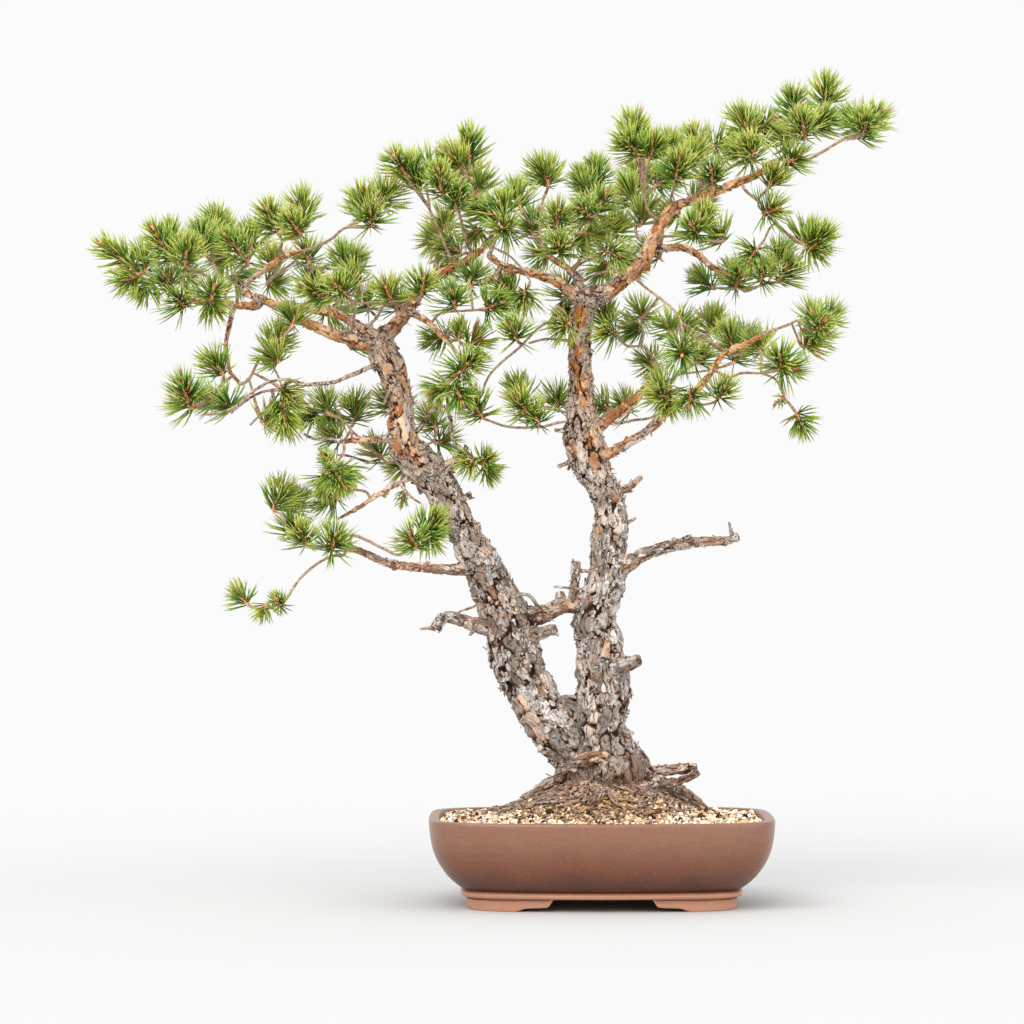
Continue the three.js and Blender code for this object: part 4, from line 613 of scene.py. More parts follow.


# Scots pine bark: dead cork in weathered grey plates over cracks, with ragged edges that show
# red-brown where a sheet has just broken off, and thin bright bark where plates have fallen. Deep
# in the cracks and at the sheets' edges the colour runs to near black: partly the deep brown inner
# bark, partly painted shade. Dry cork scatters light evenly, so it's dull all over. The pattern
# follows each branch: its place is the attribute rolled. Tone red is 0 in a crack, green is one
# number a plate, blue is its age.
def makeBark(name, youngShare, young):
    look = barkLook
    material, tree = newMaterial(name)
    place = addNode(tree, "Attribute", {"attribute_name": "rolled"})["Vector"]
    upright = addNode(tree, "TexCoord")["Object"]
    height = addNode(tree, "SeparateXYZ", links={"Vector": upright})["Z"]
    parts = readTone(tree)
    drawn = addNode(tree, "Mapping", {"Scale": (1.0, 1.0, 0.42)}, {"Vector": place})[0]
    streaks = addNode(tree, "TexNoise",
                      {"Scale": 0.5 / look["streakWidth"], "Detail": 7.0, "Roughness": 0.72},
                      {"Vector": drawn})
    grain = addNode(tree, "TexNoise", {"Scale": 0.5 / look["grainSize"], "Detail": 3.0},
                    {"Vector": place})
    patch = addNode(tree, "TexNoise", {"Scale": 1 / look["patchSize"], "Detail": 4.0, "Roughness": 0.6},
                    {"Vector": drawn})
    tint = addNode(tree, "TexNoise", {"Scale": 0.5 / look["tintSize"], "Detail": 3.0}, {"Vector": drawn})
    tint = addNode(tree, "SeparateColor", links={"Color": tint["Color"]})
    # Sheets lie over each other: each step of a smooth noise is one sheet with a ragged edge, painted
    # near black as the shadow of the sheet above it and red-brown where the break is fresh
    sheets = addNode(tree, "TexNoise",
                     {"Scale": 1 / look["sheetSize"], "Detail": 6.0, "Roughness": 0.6,
                      "Distortion": 0.35}, {"Vector": drawn})
    stepped = addNode(tree, "Math", {"operation": "MULTIPLY", 1: look["sheetSteps"]}, {0: sheets["Fac"]})
    stepped = addNode(tree, "Math", {"operation": "FRACT"}, {0: stepped[0]})[0]
    sheetEdge = addNode(tree, "MapRange", {"From Min": 0.02, "From Max": 0.2, "To Min": 0.0},
                        {"Value": stepped})[0]
    shifted = addNode(tree, "VectorMath", {"operation": "MULTIPLY_ADD", 1: (look["sway"],) * 3},
                      {0: streaks["Color"], 2: drawn})[0]
    scales = addNode(tree, "TexVoronoi", {"feature": "DISTANCE_TO_EDGE", "Scale": 1 / look["scaleSize"]},
                     {"Vector": shifted})
    seam = addNode(tree, "MapRange", {"From Min": 0.0, "From Max": 0.05, "To Min": 0.2},
                   {"Value": scales["Distance"]})[0]
    whole = addNode(tree, "MapRange", {"From Min": 0.44, "From Max": 0.56}, {"Value": tint[2]})[0]
    seam = addNode(tree, "Math", {"operation": "MAXIMUM"}, {0: seam, 1: whole})[0]
    mixed = addNode(tree, "Math", {"operation": "MULTIPLY_ADD", 1: 0.34},
                    {0: parts[1], 2: streaks["Fac"]})[0]
    mixed = addNode(tree, "MapRange", {"From Min": 0.42, "From Max": 0.92}, {"Value": mixed})[0]
    old = addNode(tree, "ValToRGB", {"stops": look["plates"]}, {"Fac": mixed})
    warm = addNode(tree, "MapRange", {"From Min": 0.52, "From Max": 0.64, "To Max": 0.6},
                   {"Value": tint[0]})[0]
    mossy = addNode(tree, "MapRange", {"From Min": 0.54, "From Max": 0.7, "To Max": 0.5},
                    {"Value": tint[1]})[0]
    high = addNode(tree, "MapRange", {"From Min": look["brightFrom"], "From Max": look["brightTo"]},
                   {"Value": height})[0]
    warm = addNode(tree, "Math", {"operation": "MULTIPLY_ADD", 1: 0.5, "use_clamp": True},
                   {0: high, 2: warm})[0]
    grey = addNode(tree, "Mix", {"data_type": "RGBA", 7: look["tint"]}, {0: warm, 6: old["Color"]})[2]
    grey = addNode(tree, "Mix", {"data_type": "RGBA", 7: look["moss"]}, {0: mossy, 6: grey})[2]
    # Fresh bark is pinkish tan low on the tree and turns orange higher up
    lower = addNode(tree, "ValToRGB", {"stops": look["tan"]}, {"Fac": mixed})["Color"]
    upper = addNode(tree, "ValToRGB", {"stops": young}, {"Fac": mixed})["Color"]
    bright = addNode(tree, "Mix", {"data_type": "RGBA"}, {0: high, 6: lower, 7: upper})[2]
    bare = addNode(tree, "Math", {"operation": "MULTIPLY_ADD", 1: 8.0, 2: youngShare - 4.0},
                   {0: patch["Fac"]})[0]
    bare = addNode(tree, "Math", {"operation": "SUBTRACT", "use_clamp": True}, {0: bare, 1: parts[2]})[0]
    cover = addNode(tree, "Mix", {"data_type": "RGBA"}, {0: bare, 6: grey, 7: bright})[2]
    low = addNode(tree, "MapRange",
                  {"From Min": look["footFrom"], "From Max": look["footTo"], "To Max": look["footShare"]},
                  {"Value": height})[0]
    low = addNode(tree, "Math", {"operation": "MULTIPLY"}, {0: low, 1: parts[2]})[0]
    cover = addNode(tree, "Mix", {"data_type": "RGBA", 7: look["foot"]}, {0: low, 6: cover})[2]
    # Bare bright bark is smoother than plates, so its sheet edges show less
    softer = addNode(tree, "Math", {"operation": "MULTIPLY", 1: 0.5}, {0: bare})[0]
    edge = addNode(tree, "Math", {"operation": "MULTIPLY"}, {0: sheetEdge, 1: seam})[0]
    edge = addNode(tree, "Mix", {3: 1.0}, {0: softer, 2: edge})[0]
    # At low depth, in cracks, scale seams and sheet edges, the colour runs from near black, partly painted
    # shade, through fresh red-brown to the plate's own
    depth = addNode(tree, "Math", {"operation": "MULTIPLY"}, {0: parts[0], 1: edge})[0]
    inner = addNode(tree, "MapRange", {"From Min": 0.04, "From Max": 0.34}, {"Value": depth})[0]
    outer = addNode(tree, "MapRange", {"From Min": 0.3, "From Max": 0.62}, {"Value": depth})[0]
    broken = addNode(tree, "Mix", {"data_type": "RGBA", 6: look["crack"], 7: look["fresh"]},
                     {0: inner})[2]
    colour = addNode(tree, "Mix", {"data_type": "RGBA"}, {0: outer, 6: broken, 7: cover})[2]
    raised = addNode(tree, "Math", {"operation": "MULTIPLY_ADD", 1: 0.7}, {0: edge, 2: streaks["Fac"]})[0]
    raised = addNode(tree, "Math", {"operation": "MULTIPLY_ADD", 1: 0.25},
                     {0: grain["Fac"], 2: raised})[0]
    closeSurface(tree, colour, {"Roughness": look["roughness"], "Specular IOR Level": 0.3},
                 {"Strength": 1.0, "Distance": look["reliefDepth"]}, raised)
    return material


needleLook = {
    # From the brown sheath to the tip, on a lit needle and on one in painted shade
    "light": [(0.0, "#c08c54"), (0.1, "#b6c648"), (0.5, "#e0e058"), (0.95, "#fcf292")],
    "dark": [(0.0, "#c08c54"), (0.09, "#3c7829"), (0.5, "#66a63c"), (1.0, "#bcd65c")],
    "dead": "#cba468", "deadOver": 0.975, "glow": 0.22, "roughness": 0.34,
}


# Pine needles: living leaves with a waxy skin, so each has a soft sheen along it, and some light
# shines through. Tone red runs from foot to tip, green is one number a pair and blue one a tuft.
def makeNeedles():
    look = needleLook
    material, tree = newMaterial("waxyPineNeedle")
    parts = readTone(tree)
    light = addNode(tree, "ValToRGB", {"stops": look["light"]}, {"Fac": parts[0]})
    dark = addNode(tree, "ValToRGB", {"stops": look["dark"]}, {"Fac": parts[0]})
    # Each needle mixes the lit and the painted-shade green by its pair's and tuft's numbers: partly real
    # variation between needles, partly painted shade
    share = addNode(tree, "Math", {"operation": "MULTIPLY_ADD", 1: 0.4}, {0: parts[2], 2: parts[1]})[0]
    share = addNode(tree, "MapRange", {"From Min": 0.15, "From Max": 1.3}, {"Value": share})[0]
    green = addNode(tree, "Mix", {"data_type": "RGBA"},
                    {0: share, 6: dark["Color"], 7: light["Color"]})[2]
    withered = addNode(tree, "Math", {"operation": "GREATER_THAN", 1: look["deadOver"]}, {0: parts[1]})[0]
    colour = addNode(tree, "Mix", {"data_type": "RGBA", 7: look["dead"]}, {0: withered, 6: green})[2]
    shader = addNode(tree, "BsdfPrincipled", {"Roughness": look["roughness"], "Specular IOR Level": 0.45},
                     {"Base Color": colour})
    glow = addNode(tree, "BsdfTranslucent", links={"Color": colour})
    both = addNode(tree, "MixShader", {0: look["glow"]}, {1: shader[0], 2: glow[0]})
    addNode(tree, "OutputMaterial", links={"Surface": both[0]})
    return material


twigLook = {
    "old": [(0.35, "#4a3728"), (0.65, "#876852"), (1.0, "#c4a68a")],
    "new": [(0.35, "#a2421c"), (0.6, "#e4743e"), (0.95, "#f8bc90")],
    "bud": [(0.3, "#8c4420"), (0.9, "#d79b68")], "scarSize": 2.2 * mm,
    "scarDepth": 0.5 * mm, "patchesPerMetre": 140.0, "roughness": 0.68,
}


# Shoots and buds: grey-brown skin that turns orange on this year's growth, ridged with the scars of
# fallen scale leaves; the buds are papery resinous scales with pale edges.
# Tone red is 0 on old twig, a half on new growth and 1 on buds.
def makeTwigs():
    look = twigLook
    material, tree = newMaterial("youngPineTwig")
    place = addNode(tree, "TexCoord")["Object"]
    parts = readTone(tree)
    scars = addNode(tree, "TexVoronoi", {"Scale": 1 / look["scarSize"]}, {"Vector": place})
    patch = addNode(tree, "TexNoise", {"Scale": look["patchesPerMetre"], "Detail": 4.0},
                    {"Vector": place})
    share = addNode(tree, "Math", {"operation": "MULTIPLY_ADD", 1: 0.7},
                    {0: scars["Distance"], 2: patch["Fac"]})[0]
    old, new, bud = [addNode(tree, "ValToRGB", {"stops": look[part]}, {"Fac": share})["Color"]
                     for part in ("old", "new", "bud")]
    onNew = addNode(tree, "Math", {"operation": "MULTIPLY", 1: 2.0, "use_clamp": True}, {0: parts[0]})[0]
    onBud = addNode(tree, "Math", {"operation": "MULTIPLY_ADD", 1: 2.0, 2: -1.0, "use_clamp": True},
                    {0: parts[0]})[0]
    shoot = addNode(tree, "Mix", {"data_type": "RGBA"}, {0: onNew, 6: old, 7: new})[2]
    colour = addNode(tree, "Mix", {"data_type": "RGBA"}, {0: onBud, 6: shoot, 7: bud})[2]
    closeSurface(tree, colour, {"Roughness": look["roughness"], "Specular IOR Level": 0.35},
                 {"Strength": 0.6, "Distance": look["scarDepth"]}, scars["Distance"])
    return material


gritLook = {
    "stops": [(0.0, "#241810"), (0.11, "#6a4c33"), (0.22, "#c29664"), (0.36, "#e6c292"), (0.52, "#f4dfbe"),
              (0.68, "#fef6e6"), (0.86, "#fffefa"), (0.93, "#dedb9c"), (0.98, "#8b8d90")],
    "poreSize": 0.7 * mm, "poreDepth": 0.4 * mm, "roughness": 0.93,
}


# Bonsai grit: broken baked clay, pumice and pine bark, sieved to 3 to 6 mm. Each grain has one
# colour of its own and a fine pitted break, dull and dusty.
def makeGrit():
    look = gritLook
    material, tree = newMaterial("siftedGrit")
    place = addNode(tree, "TexCoord")["Object"]
    parts = readTone(tree)
    ramp = addNode(tree, "ValToRGB", {"stops": look["stops"]}, {"Fac": parts[1]})
    pores = addNode(tree, "TexNoise", {"Scale": 0.6 / look["poreSize"], "Detail": 4.0}, {"Vector": place})
    shade = addNode(tree, "MapRange", {"From Min": 0.3, "From Max": 0.7, "To Min": 0.82, "To Max": 1.12},
                    {"Value": pores["Fac"]})[0]
    colour = addNode(tree, "VectorMath", {"operation": "SCALE"}, {0: ramp["Color"], "Scale": shade})[0]
    closeSurface(tree, colour, {"Roughness": look["roughness"], "Specular IOR Level": 0.2},
                 {"Strength": 0.5, "Distance": look["poreDepth"]}, pores["Fac"])
    return material


# Bed colours, far deeper than the loose grit's: painted shade in the gaps between grains
bedLook = {"stops": [(0.0, "#2f241b"), (0.35, "#6a4d30"), (0.6, "#b08a55"), (0.85, "#dcc394")],
           "grainSize": 4 * mm, "grainDepth": 1.5 * mm, "roughness": 0.95}


# The bed under the loose grains: the same mix, painted much deeper as shade in the gaps between grains, so
# it reads as shadowed grit
def makeBed():
    look = bedLook
    material, tree = newMaterial("gritBedInShade")
    place = addNode(tree, "TexCoord")["Object"]
    grains = addNode(tree, "TexVoronoi", {"Scale": 1 / look["grainSize"]}, {"Vector": place})
    own = addNode(tree, "SeparateColor", links={"Color": grains["Color"]})
    ramp = addNode(tree, "ValToRGB", {"stops": look["stops"]}, {"Fac": own[0]})
    closeSurface(tree, ramp["Color"], {"Roughness": look["roughness"], "Specular IOR Level": 0.2},
                 {"Strength": 1.0, "Distance": look["grainDepth"], "invert": True}, grains["Distance"])
    return material


clayLook = {
    "band": "#b68267", "speck": "#dcbca6",
    # Wall colour up its height, deeper low down: partly the clay's own tone, partly painted shade on the
    # lower wall, which faces down
    "wall": [(0.33, "#451f0c"), (0.6, "#75462f"), (0.95, "#865c47"), (1.0, "#865c48")],
    "streakHeight": 1.3 * mm, "speckSize": 1.5 * mm, "sandSize": 0.55 * mm,
    "bandTop": 22.5 * mm, "wallTop": 104 * mm, "cloudsPerMetre": 18.0, "speckShare": 0.18,
    "reliefDepth": 0.4 * mm, "roughness": 0.33,
}


# Unglazed stoneware: pressed from iron clay, wiped with a wet cloth and fired bare. It's matt with a
# soft burnish, so its round ends catch a broad sheen, and it shows level wipe marks and pale sand.
def makeClay():
    look = clayLook
    material, tree = newMaterial("unglazedStoneware")
    place = addNode(tree, "TexCoord")["Object"]
    height = addNode(tree, "SeparateXYZ", links={"Vector": place})["Z"]
    cloud = addNode(tree, "TexNoise", {"Scale": look["cloudsPerMetre"], "Detail": 4.0}, {"Vector": place})
    # The wall deepens in tone towards its foot: partly the clay's own tone, partly painted shade
    share = addNode(tree, "MapRange", {"From Max": look["wallTop"]}, {"Value": height})[0]
    share = addNode(tree, "Math", {"operation": "MULTIPLY_ADD", 1: 0.22}, {0: cloud["Fac"], 2: share})[0]
    wall = addNode(tree, "ValToRGB", {"stops": look["wall"]}, {"Fac": share})
    over = addNode(tree, "Math", {"operation": "GREATER_THAN", 1: look["bandTop"]}, {0: height})[0]
    base = addNode(tree, "Mix", {"data_type": "RGBA", 6: look["band"]}, {0: over, 7: wall["Color"]})[2]
    level = addNode(tree, "Mapping", {"Scale": (0.09, 0.09, 1.0)}, {"Vector": place})
    streaks = addNode(tree, "TexNoise",
                      {"Scale": 0.5 / look["streakHeight"], "Detail": 5.0, "Roughness": 0.65},
                      {"Vector": level[0]})
    sand = addNode(tree, "TexNoise", {"Scale": 0.5 / look["sandSize"], "Detail": 2.0}, {"Vector": place})
    shade = addNode(tree, "Math", {"operation": "MULTIPLY_ADD", 1: 1.3},
                    {0: sand["Fac"], 2: streaks["Fac"]})[0]
    shade = addNode(tree, "MapRange", {"From Min": 0.8, "From Max": 1.5, "To Min": 0.84, "To Max": 1.16},
                    {"Value": shade})[0]
    toned = addNode(tree, "VectorMath", {"operation": "SCALE"}, {0: base, "Scale": shade})[0]
    specks = addNode(tree, "TexVoronoi", {"Scale": 1 / look["speckSize"]}, {"Vector": place})
    near = addNode(tree, "MapRange", {"From Min": 0.12, "From Max": 0.24, "To Min": 1.0, "To Max": 0.0},
                   {"Value": specks["Distance"]})[0]
    own = addNode(tree, "SeparateColor", links={"Color": specks["Color"]})
    chosen = addNode(tree, "Math", {"operation": "GREATER_THAN", 1: 1 - look["speckShare"]},
                     {0: own[0]})[0]
    spot = addNode(tree, "Math", {"operation": "MULTIPLY"}, {0: near, 1: chosen})[0]
    spot = addNode(tree, "Math", {"operation": "MULTIPLY", 1: 0.6}, {0: spot})[0]
    colour = addNode(tree, "Mix", {"data_type": "RGBA", 7: look["speck"]}, {0: spot, 6: toned})[2]
    closeSurface(tree, colour, {"Roughness": look["roughness"], "Specular IOR Level": 0.5},
                 {"Strength": 0.3, "Distance": look["reliefDepth"]}, shade)
    return material


screenLook = {
    "stops": [(0.3, "#1c1c1c"), (0.8, "#3a3a38")], "scuffsPerMetre": 400.0, "roughness": 0.5, "ior": 1.51,
}


# Drain screens: cut from moulded polyethylene mesh, dull black with a slight waxy sheen
def makeScreenPlastic():
    look = screenLook
    material, tree = newMaterial("mouldedPolyethylene")
    place = addNode(tree, "TexCoord")["Object"]
    scuff = addNode(tree, "TexNoise", {"Scale": look["scuffsPerMetre"], "Detail": 3.0}, {"Vector": place})
    colour = addNode(tree, "ValToRGB", {"stops": look["stops"]}, {"Fac": scuff["Fac"]})
    closeSurface(tree, colour["Color"], {"Roughness": look["roughness"], "IOR": look["ior"]})
    return material


oldBark = makeBark("weatheredPineBark", 0.0, barkLook["orange"])
limbCover = makeBark("flakingPineBark", 1.36, barkLook["orange"])
rootCover = makeBark("rootAndSnagBark", 0.9, barkLook["tan"])
needleSkin = makeNeedles()
twigSkin = makeTwigs()
grit = makeGrit()
gritBedInShade = makeBed()
stoneware = makeClay()
screenPlastic = makeScreenPlastic()
print("stage: materials made")


pot = {
    "halfLength": 206.5 * mm, "halfDepth": 165 * mm, "around": 320, "feetAround": 480, "planSteps": 600,
    "cornerPower": 8, "longSideBow": 0.2, "shortSideBow": 0.02, "sharpAngle": 38,
    # Gaps between the feet, in mm: where a face starts, half the gap, and how far its ends curl
    "footTop": 16, "longFaceFrom": 80, "footGapHalf": 57.3, "footGapCurl": 45,
    "shortFaceFrom": 100, "sideGapHalf": 30, "sideGapCurl": 18,
    "drainHoleX": 85 * mm, "drainHoleRadius": 11 * mm, "drillHeight": 21.5 * mm, "drillLength": 60 * mm,
    # Wall as (inset from the rim's outline, height, share of the way out) in mm: from the middle of
    # the underside over the band, up the outside, over the rim and down to the middle of the floor
    "profile": [
        (42, 15.2, 0), (42, 15.2, 0.5), (42, 15.2, 1), (40.4, 15.3, 1), (38.8, 16.0, 1),
        (38.0, 17.4, 1), (37.9, 18.9, 1), (38.4, 20.4, 1), (39.8, 21.6, 1), (41.8, 22.1, 1),
        (42.4, 22.5, 1), (41.0, 23.2, 1),
        (37.6, 25.4, 1), (32.4, 29.2, 1), (26.9, 34, 1), (21.6, 39.4, 1), (16.5, 46.2, 1), (12, 53, 1),
        (8.4, 60, 1), (5.6, 67, 1), (3.6, 74, 1), (1.8, 84, 1), (0.7, 94, 1), (0.2, 101.8, 1),
        (0.3, 104.1, 1), (1.0, 105.6, 1), (2.4, 106.3, 1), (10.4, 106.3, 1), (11.9, 105.6, 1),
        (12.6, 103.9, 1), (13.5, 100, 1), (14.2, 90, 1), (15.5, 76, 1), (21, 60, 1), (30, 45, 1),
        (40, 35, 1), (50, 29.5, 1), (58, 27.5, 1), (58, 27.5, 0.5), (58, 27.5, 0)],
    # Foot as (inset, share of its height): a hollow face outside, flat below and plain inside
    "footSection": [(47.5, 1), (47.2, 0.84), (44.6, 0.78), (44.9, 0.6), (45.2, 0.4), (44.8, 0.16),
                    (45.0, 0.05), (46.0, 0), (57, 0), (57.6, 0.05), (57.6, 1), (47.5, 1)],
    # The gap's stepped edge as (share of the curl, rise in mm)
    "cloudCurl": [(0, 15.7), (0.05, 13), (0.093, 9.6), (0.13, 6.9), (0.18, 5.2), (0.45, 4.5), (0.74, 3.8),
                  (0.84, 2.5), (0.93, 0.8), (1.0, 0)],
}


# The pot's plan: a rectangle with tight round corners and sides that bow out. Equal steps of u walk
# evenly round it. Rounding makes the first and last point meet.
def potPlan(turn):
    c, s = np.round(np.cos(turn), 12), np.round(np.sin(turn), 12)
    power = 2 / pot["cornerPower"]
    along, across = np.sign(c) * np.abs(c) ** power, np.sign(s) * np.abs(s) ** power
    x = along * (1 - pot["shortSideBow"] * across ** 2)
    return x, across * (1 - pot["longSideBow"] * along ** 2)


def evenTurns():
    half = np.linspace(0, 1, pot["planSteps"], endpoint=False) ** 3 * math.pi / 4
    quarter = np.concatenate([half, math.pi / 2 - half[::-1]])
    turns = np.concatenate([quarter + k * math.pi / 2 for k in range(4)] + [[2 * math.pi]])
    x, y = potPlan(turns)
    steps = np.hypot(pot["halfLength"] * np.diff(x), pot["halfDepth"] * np.diff(y))
    run = np.concatenate([[0], np.cumsum(steps)])
    return run / run[-1], turns


evenRun, evenTurn = evenTurns()


def potOutline(u, inset):
    x, y = potPlan(np.interp(u, evenRun, evenTurn))
    return np.stack([(pot["halfLength"] - inset) * x, (pot["halfDepth"] - inset) * y], axis=-1)


def onPot(flat, z):
    return np.column_stack([flat[:, 0] + shiftX, flat[:, 1] + shiftY, z])


# Columns of a table of rows, read at shares from 0 to 1 of the way down it
def readRows(table, share):
    stops = np.linspace(0, 1, len(table))
    return [np.interp(share, stops, table[:, k]) for k in range(table.shape[1])]


def makePot():
    profile = np.array(pot["profile"], float)
    section = np.array(pot["footSection"], float)
    curve = np.array(pot["cloudCurl"], float)

    def wall(u, v):
        inset, z, share = readRows(profile, v)
        return onPot(potOutline(u, inset * mm) * share[:, None], z * mm)

    # Between the feet the ring rises into the pot's underside, in the stepped curl of a cloud foot
    def feet(u, v):
        inset, share = readRows(section, v)
        flat = potOutline(u, inset * mm)
        rise = np.zeros(len(u))
        for reach, crosses, half, curl in (
                (flat[:, 0], np.abs(flat[:, 1]) > pot["longFaceFrom"] * mm, pot["footGapHalf"],
                 pot["footGapCurl"]),
                (flat[:, 1], np.abs(flat[:, 0]) > pot["shortFaceFrom"] * mm, pot["sideGapHalf"],
                 pot["sideGapCurl"])):
            arch = np.interp((np.abs(reach) / mm - half) / curl, curve[:, 0], curve[:, 1])
            rise = np.where(crosses, np.maximum(rise, arch), rise)
        return onPot(flat, (rise + (pot["footTop"] - rise) * share) * mm)

    skin = newSkinMesh()
    rollSkin(skin, pot["around"], len(profile) - 1, wall)
    body = makePiece("potWall", takeArrays(skin), [stoneware], ["pot"], pot["sharpAngle"])
    drillHoles(body)
    ring = newSkinMesh()
    rollSkin(ring, pot["feetAround"], len(section) - 1, feet)
    makePiece("potFeet", takeArrays(ring), [stoneware], (), pot["sharpAngle"])


def drillHoles(body):
    cutters = []
    for side in (-1, 1):
        plug = bmesh.new()
        bmesh.ops.create_cone(plug, cap_ends=True, segments=32, radius1=pot["drainHoleRadius"],
                              radius2=pot["drainHoleRadius"], depth=pot["drillLength"])
        bmesh.ops.translate(plug, verts=plug.verts,
                            vec=(shiftX + side * pot["drainHoleX"], shiftY, pot["drillHeight"]))
        cutter = addObject("drainPlug", meshFrom("drainPlug", plug))
        cut = body.modifiers.new("drainHole", "BOOLEAN")
        cut.object, cut.operation, cut.solver = cutter, "DIFFERENCE", "EXACT"
        cutters.append(cutter)
    bpy.context.view_layer.update()
    depsgraph = bpy.context.evaluated_depsgraph_get()
    drilled = bpy.data.meshes.new_from_object(body.evaluated_get(depsgraph))
    body.modifiers.clear()
    body.data = drilled
    for cutter in cutters:
        bpy.data.objects.remove(cutter, do_unlink=True)


makePot()
for name in ("drain_screen_left", "drain_screen_right"):
    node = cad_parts[name]
    node.data.materials.clear()
    node.data.materials.append(screenPlastic)
print("stage: pot made")


wood = {
    "trunkAround": 120, "trunkStep": 2.1 * mm, "limbStep": 2.2 * mm, "rootStep": 3 * mm,
    "flareReach": 1.3, "flareRise": 0.45,
    # Bark, in mm
    "plateWidth": 15, "plateLength": 34, "fissureDepth": 4.2, "ridgeHeight": 4.2, "sheetStep": 1.5,
    "sheets": 3.2, "sheetEdge": 0.2, "trunkSharp": 42, "limbSharp": 50, "rootSharp": 60,
}


# Bark at a place, in mm round and along a branch: 0 in a crack to 1 on a plate, the plate's own
# number, which sheet lies there, 0 at a sheet's broken edge, and how far a plate's lower end lifts
def barkAt(spot, width, length, seed):
    # The places of plates are warped twice, first in large bends and then in small ragged ones
    warped = spot + noise.noise_vector(spot * (0.8 / width)) * (0.45 * width) + Vector((seed * 31.7, 0, 0))
    warped += noise.noise_vector(spot * (3.4 / width)) * (0.15 * width)
    gaps, centres = noise.voronoi(Vector((warped.x / width, warped.y / width, warped.z / length)))
    widening = noise.noise(spot * (0.6 / width) + Vector((0, seed, 0)))
    opening = 0.1 + 0.22 * min(max(0.35 + 1.3 * widening, 0), 1)   # cracks gape more in places
    edge = min((gaps[1] - gaps[0]) / opening, 1.0)
    crack = edge * edge * (3 - 2 * edge)
    own = noise.cell(centres[0] * 9.1)
    lifted = centres[0].z - warped.z / length
    stacked = Vector((warped.x / width, warped.y / width, 1.4 * warped.z / length + 0.6 * own))
    sheet = wood["sheets"] * (0.5 + 0.5 * noise.fractal(stacked, 0.9, 2.0, 4))
    rest = sheet - math.floor(sheet)
    broken = min(rest / wood["sheetEdge"], 1.0)
    return crack, own, math.floor(sheet) + broken - 0.5 * wood["sheets"], broken, lifted


# Skin for rollSkin: bark on a path, with its plates' size, depth and the branch's own swells in mm
def barkSkin(path, width, length, depth, ridge, seed, ageAt, darkest=0.0):
    def place(u, v):
        along = v * path["along"][-1]
        turn = u * 2 * math.pi
        radius = np.interp(along, path["along"], path["radius"])
        stepHeight = wood["sheetStep"] * (depth / wood["fissureDepth"])
        lifts, tones, rolled = [], [], []
        for a, t, r in zip(along, turn, radius):
            spot = Vector((r * math.cos(t), r * math.sin(t), a)) * 1000
            crack, own, sheet, broken, lifted = barkAt(spot, width, length, seed)
            bulge = noise.noise(Vector((spot.x * 0.05 + seed, spot.y * 0.05, spot.z * 0.018)))
            bulge += 0.4 * noise.noise(Vector((spot.x * 0.12, spot.y * 0.12 + seed, spot.z * 0.06)))
            height = depth * (crack - 0.75) + stepHeight * sheet * crack
            height += depth * (0.3 * (own - 0.5) + 0.3 * lifted) * crack + ridge * bulge
            lifts.append(height * mm)
            # Tone red falls in cracks and at broken sheet edges, which the bark material paints near
            # black, partly as painted shade
            tones.append([darkest + (1 - darkest) * crack * (0.45 + 0.55 * broken), own, 0, 1])
            rolled.append((spot.x * mm + 0.317 * seed, spot.y * mm, spot.z * mm))
        points, outward, _ = onPath(path, along, turn, np.array(lifts))
        for tone, age in zip(tones, ageAt(along, points, outward)):
            tone[2] = age
        return points, tones, rolled

    return place


trunkPaths, routes = {}, {}
for name, route in trunkRoutes.items():
    rows = []
    for i, (x, y, half) in enumerate(route["points"]):
        share = i / (len(route["points"]) - 1)
        depth = route["depths"][0] + (route["depths"][1] - route["depths"][0]) * share
        rows.append((x, y, depth, half * reference["unit"]))
    routes[name] = np.array(rows)
    trunkPaths[name] = smoothPath([fromView(*row[:3]) for row in rows], [row[3] for row in rows],
                                  wood["trunkStep"])


# Where plates have fallen and bright bark shows on the front of a trunk: points in the view's units,
# half-width in mm and how bare it is
peeledStrips = {
    "leftTrunk": [
        ([(404, 436), (420, 462)], 4, 1.3), ([(494, 590), (496, 622), (500, 642)], 8, 0.9),
        ([(519, 700), (533, 722), (546, 744)], 7, 0.9), ([(538, 676), (543, 692)], 3, 1.3),
        ([(399, 408), (401, 424)], 4, 1.4), ([(478, 566), (484, 580)], 4, 1.2)],
    "rightTrunk": [
        ([(580, 306), (580, 330)], 6, 1.0), ([(577, 335), (578, 356)], 3.2, 2.0),
        ([(574, 366), (580, 374), (582, 395), (582, 406)], 3.8, 2.0), ([(590, 440), (596, 462)], 4, 1.0),
        ([(606, 640), (609, 652)], 4, 1.3), ([(592, 690), (596, 716)], 6, 0.8)],
}


# Old grey plates low down, thin orange bark towards the top and in the peeled strips
def trunkAge(name):
    path = trunkPaths[name]
    strips = [(np.array([fromView(x, y, 0) for x, y in points]), half * mm, bare)
              for points, half, bare in peeledStrips[name]]

    def ageAt(along, points, outward):
        share = along / path["along"][-1]
        age = np.clip(1.15 - 1.4 * share, 0.1, 1.0)
        for line, half, bare in strips:
            gap = np.full(len(points), 1.0)
            for a, b in zip(line[:-1, [0, 2]], line[1:, [0, 2]]):
                t = np.clip((points[:, [0, 2]] - a) @ (b - a) / ((b - a) @ (b - a)), 0, 1)
                gap = np.minimum(gap, np.linalg.norm(points[:, [0, 2]] - a - t[:, None] * (b - a), axis=1))
            inside = np.clip(1.5 - gap / half, 0, 1) * (outward[:, 1] < 0.1)
            age = age - inside * (bare + 0.6)
        return age

    return ageAt


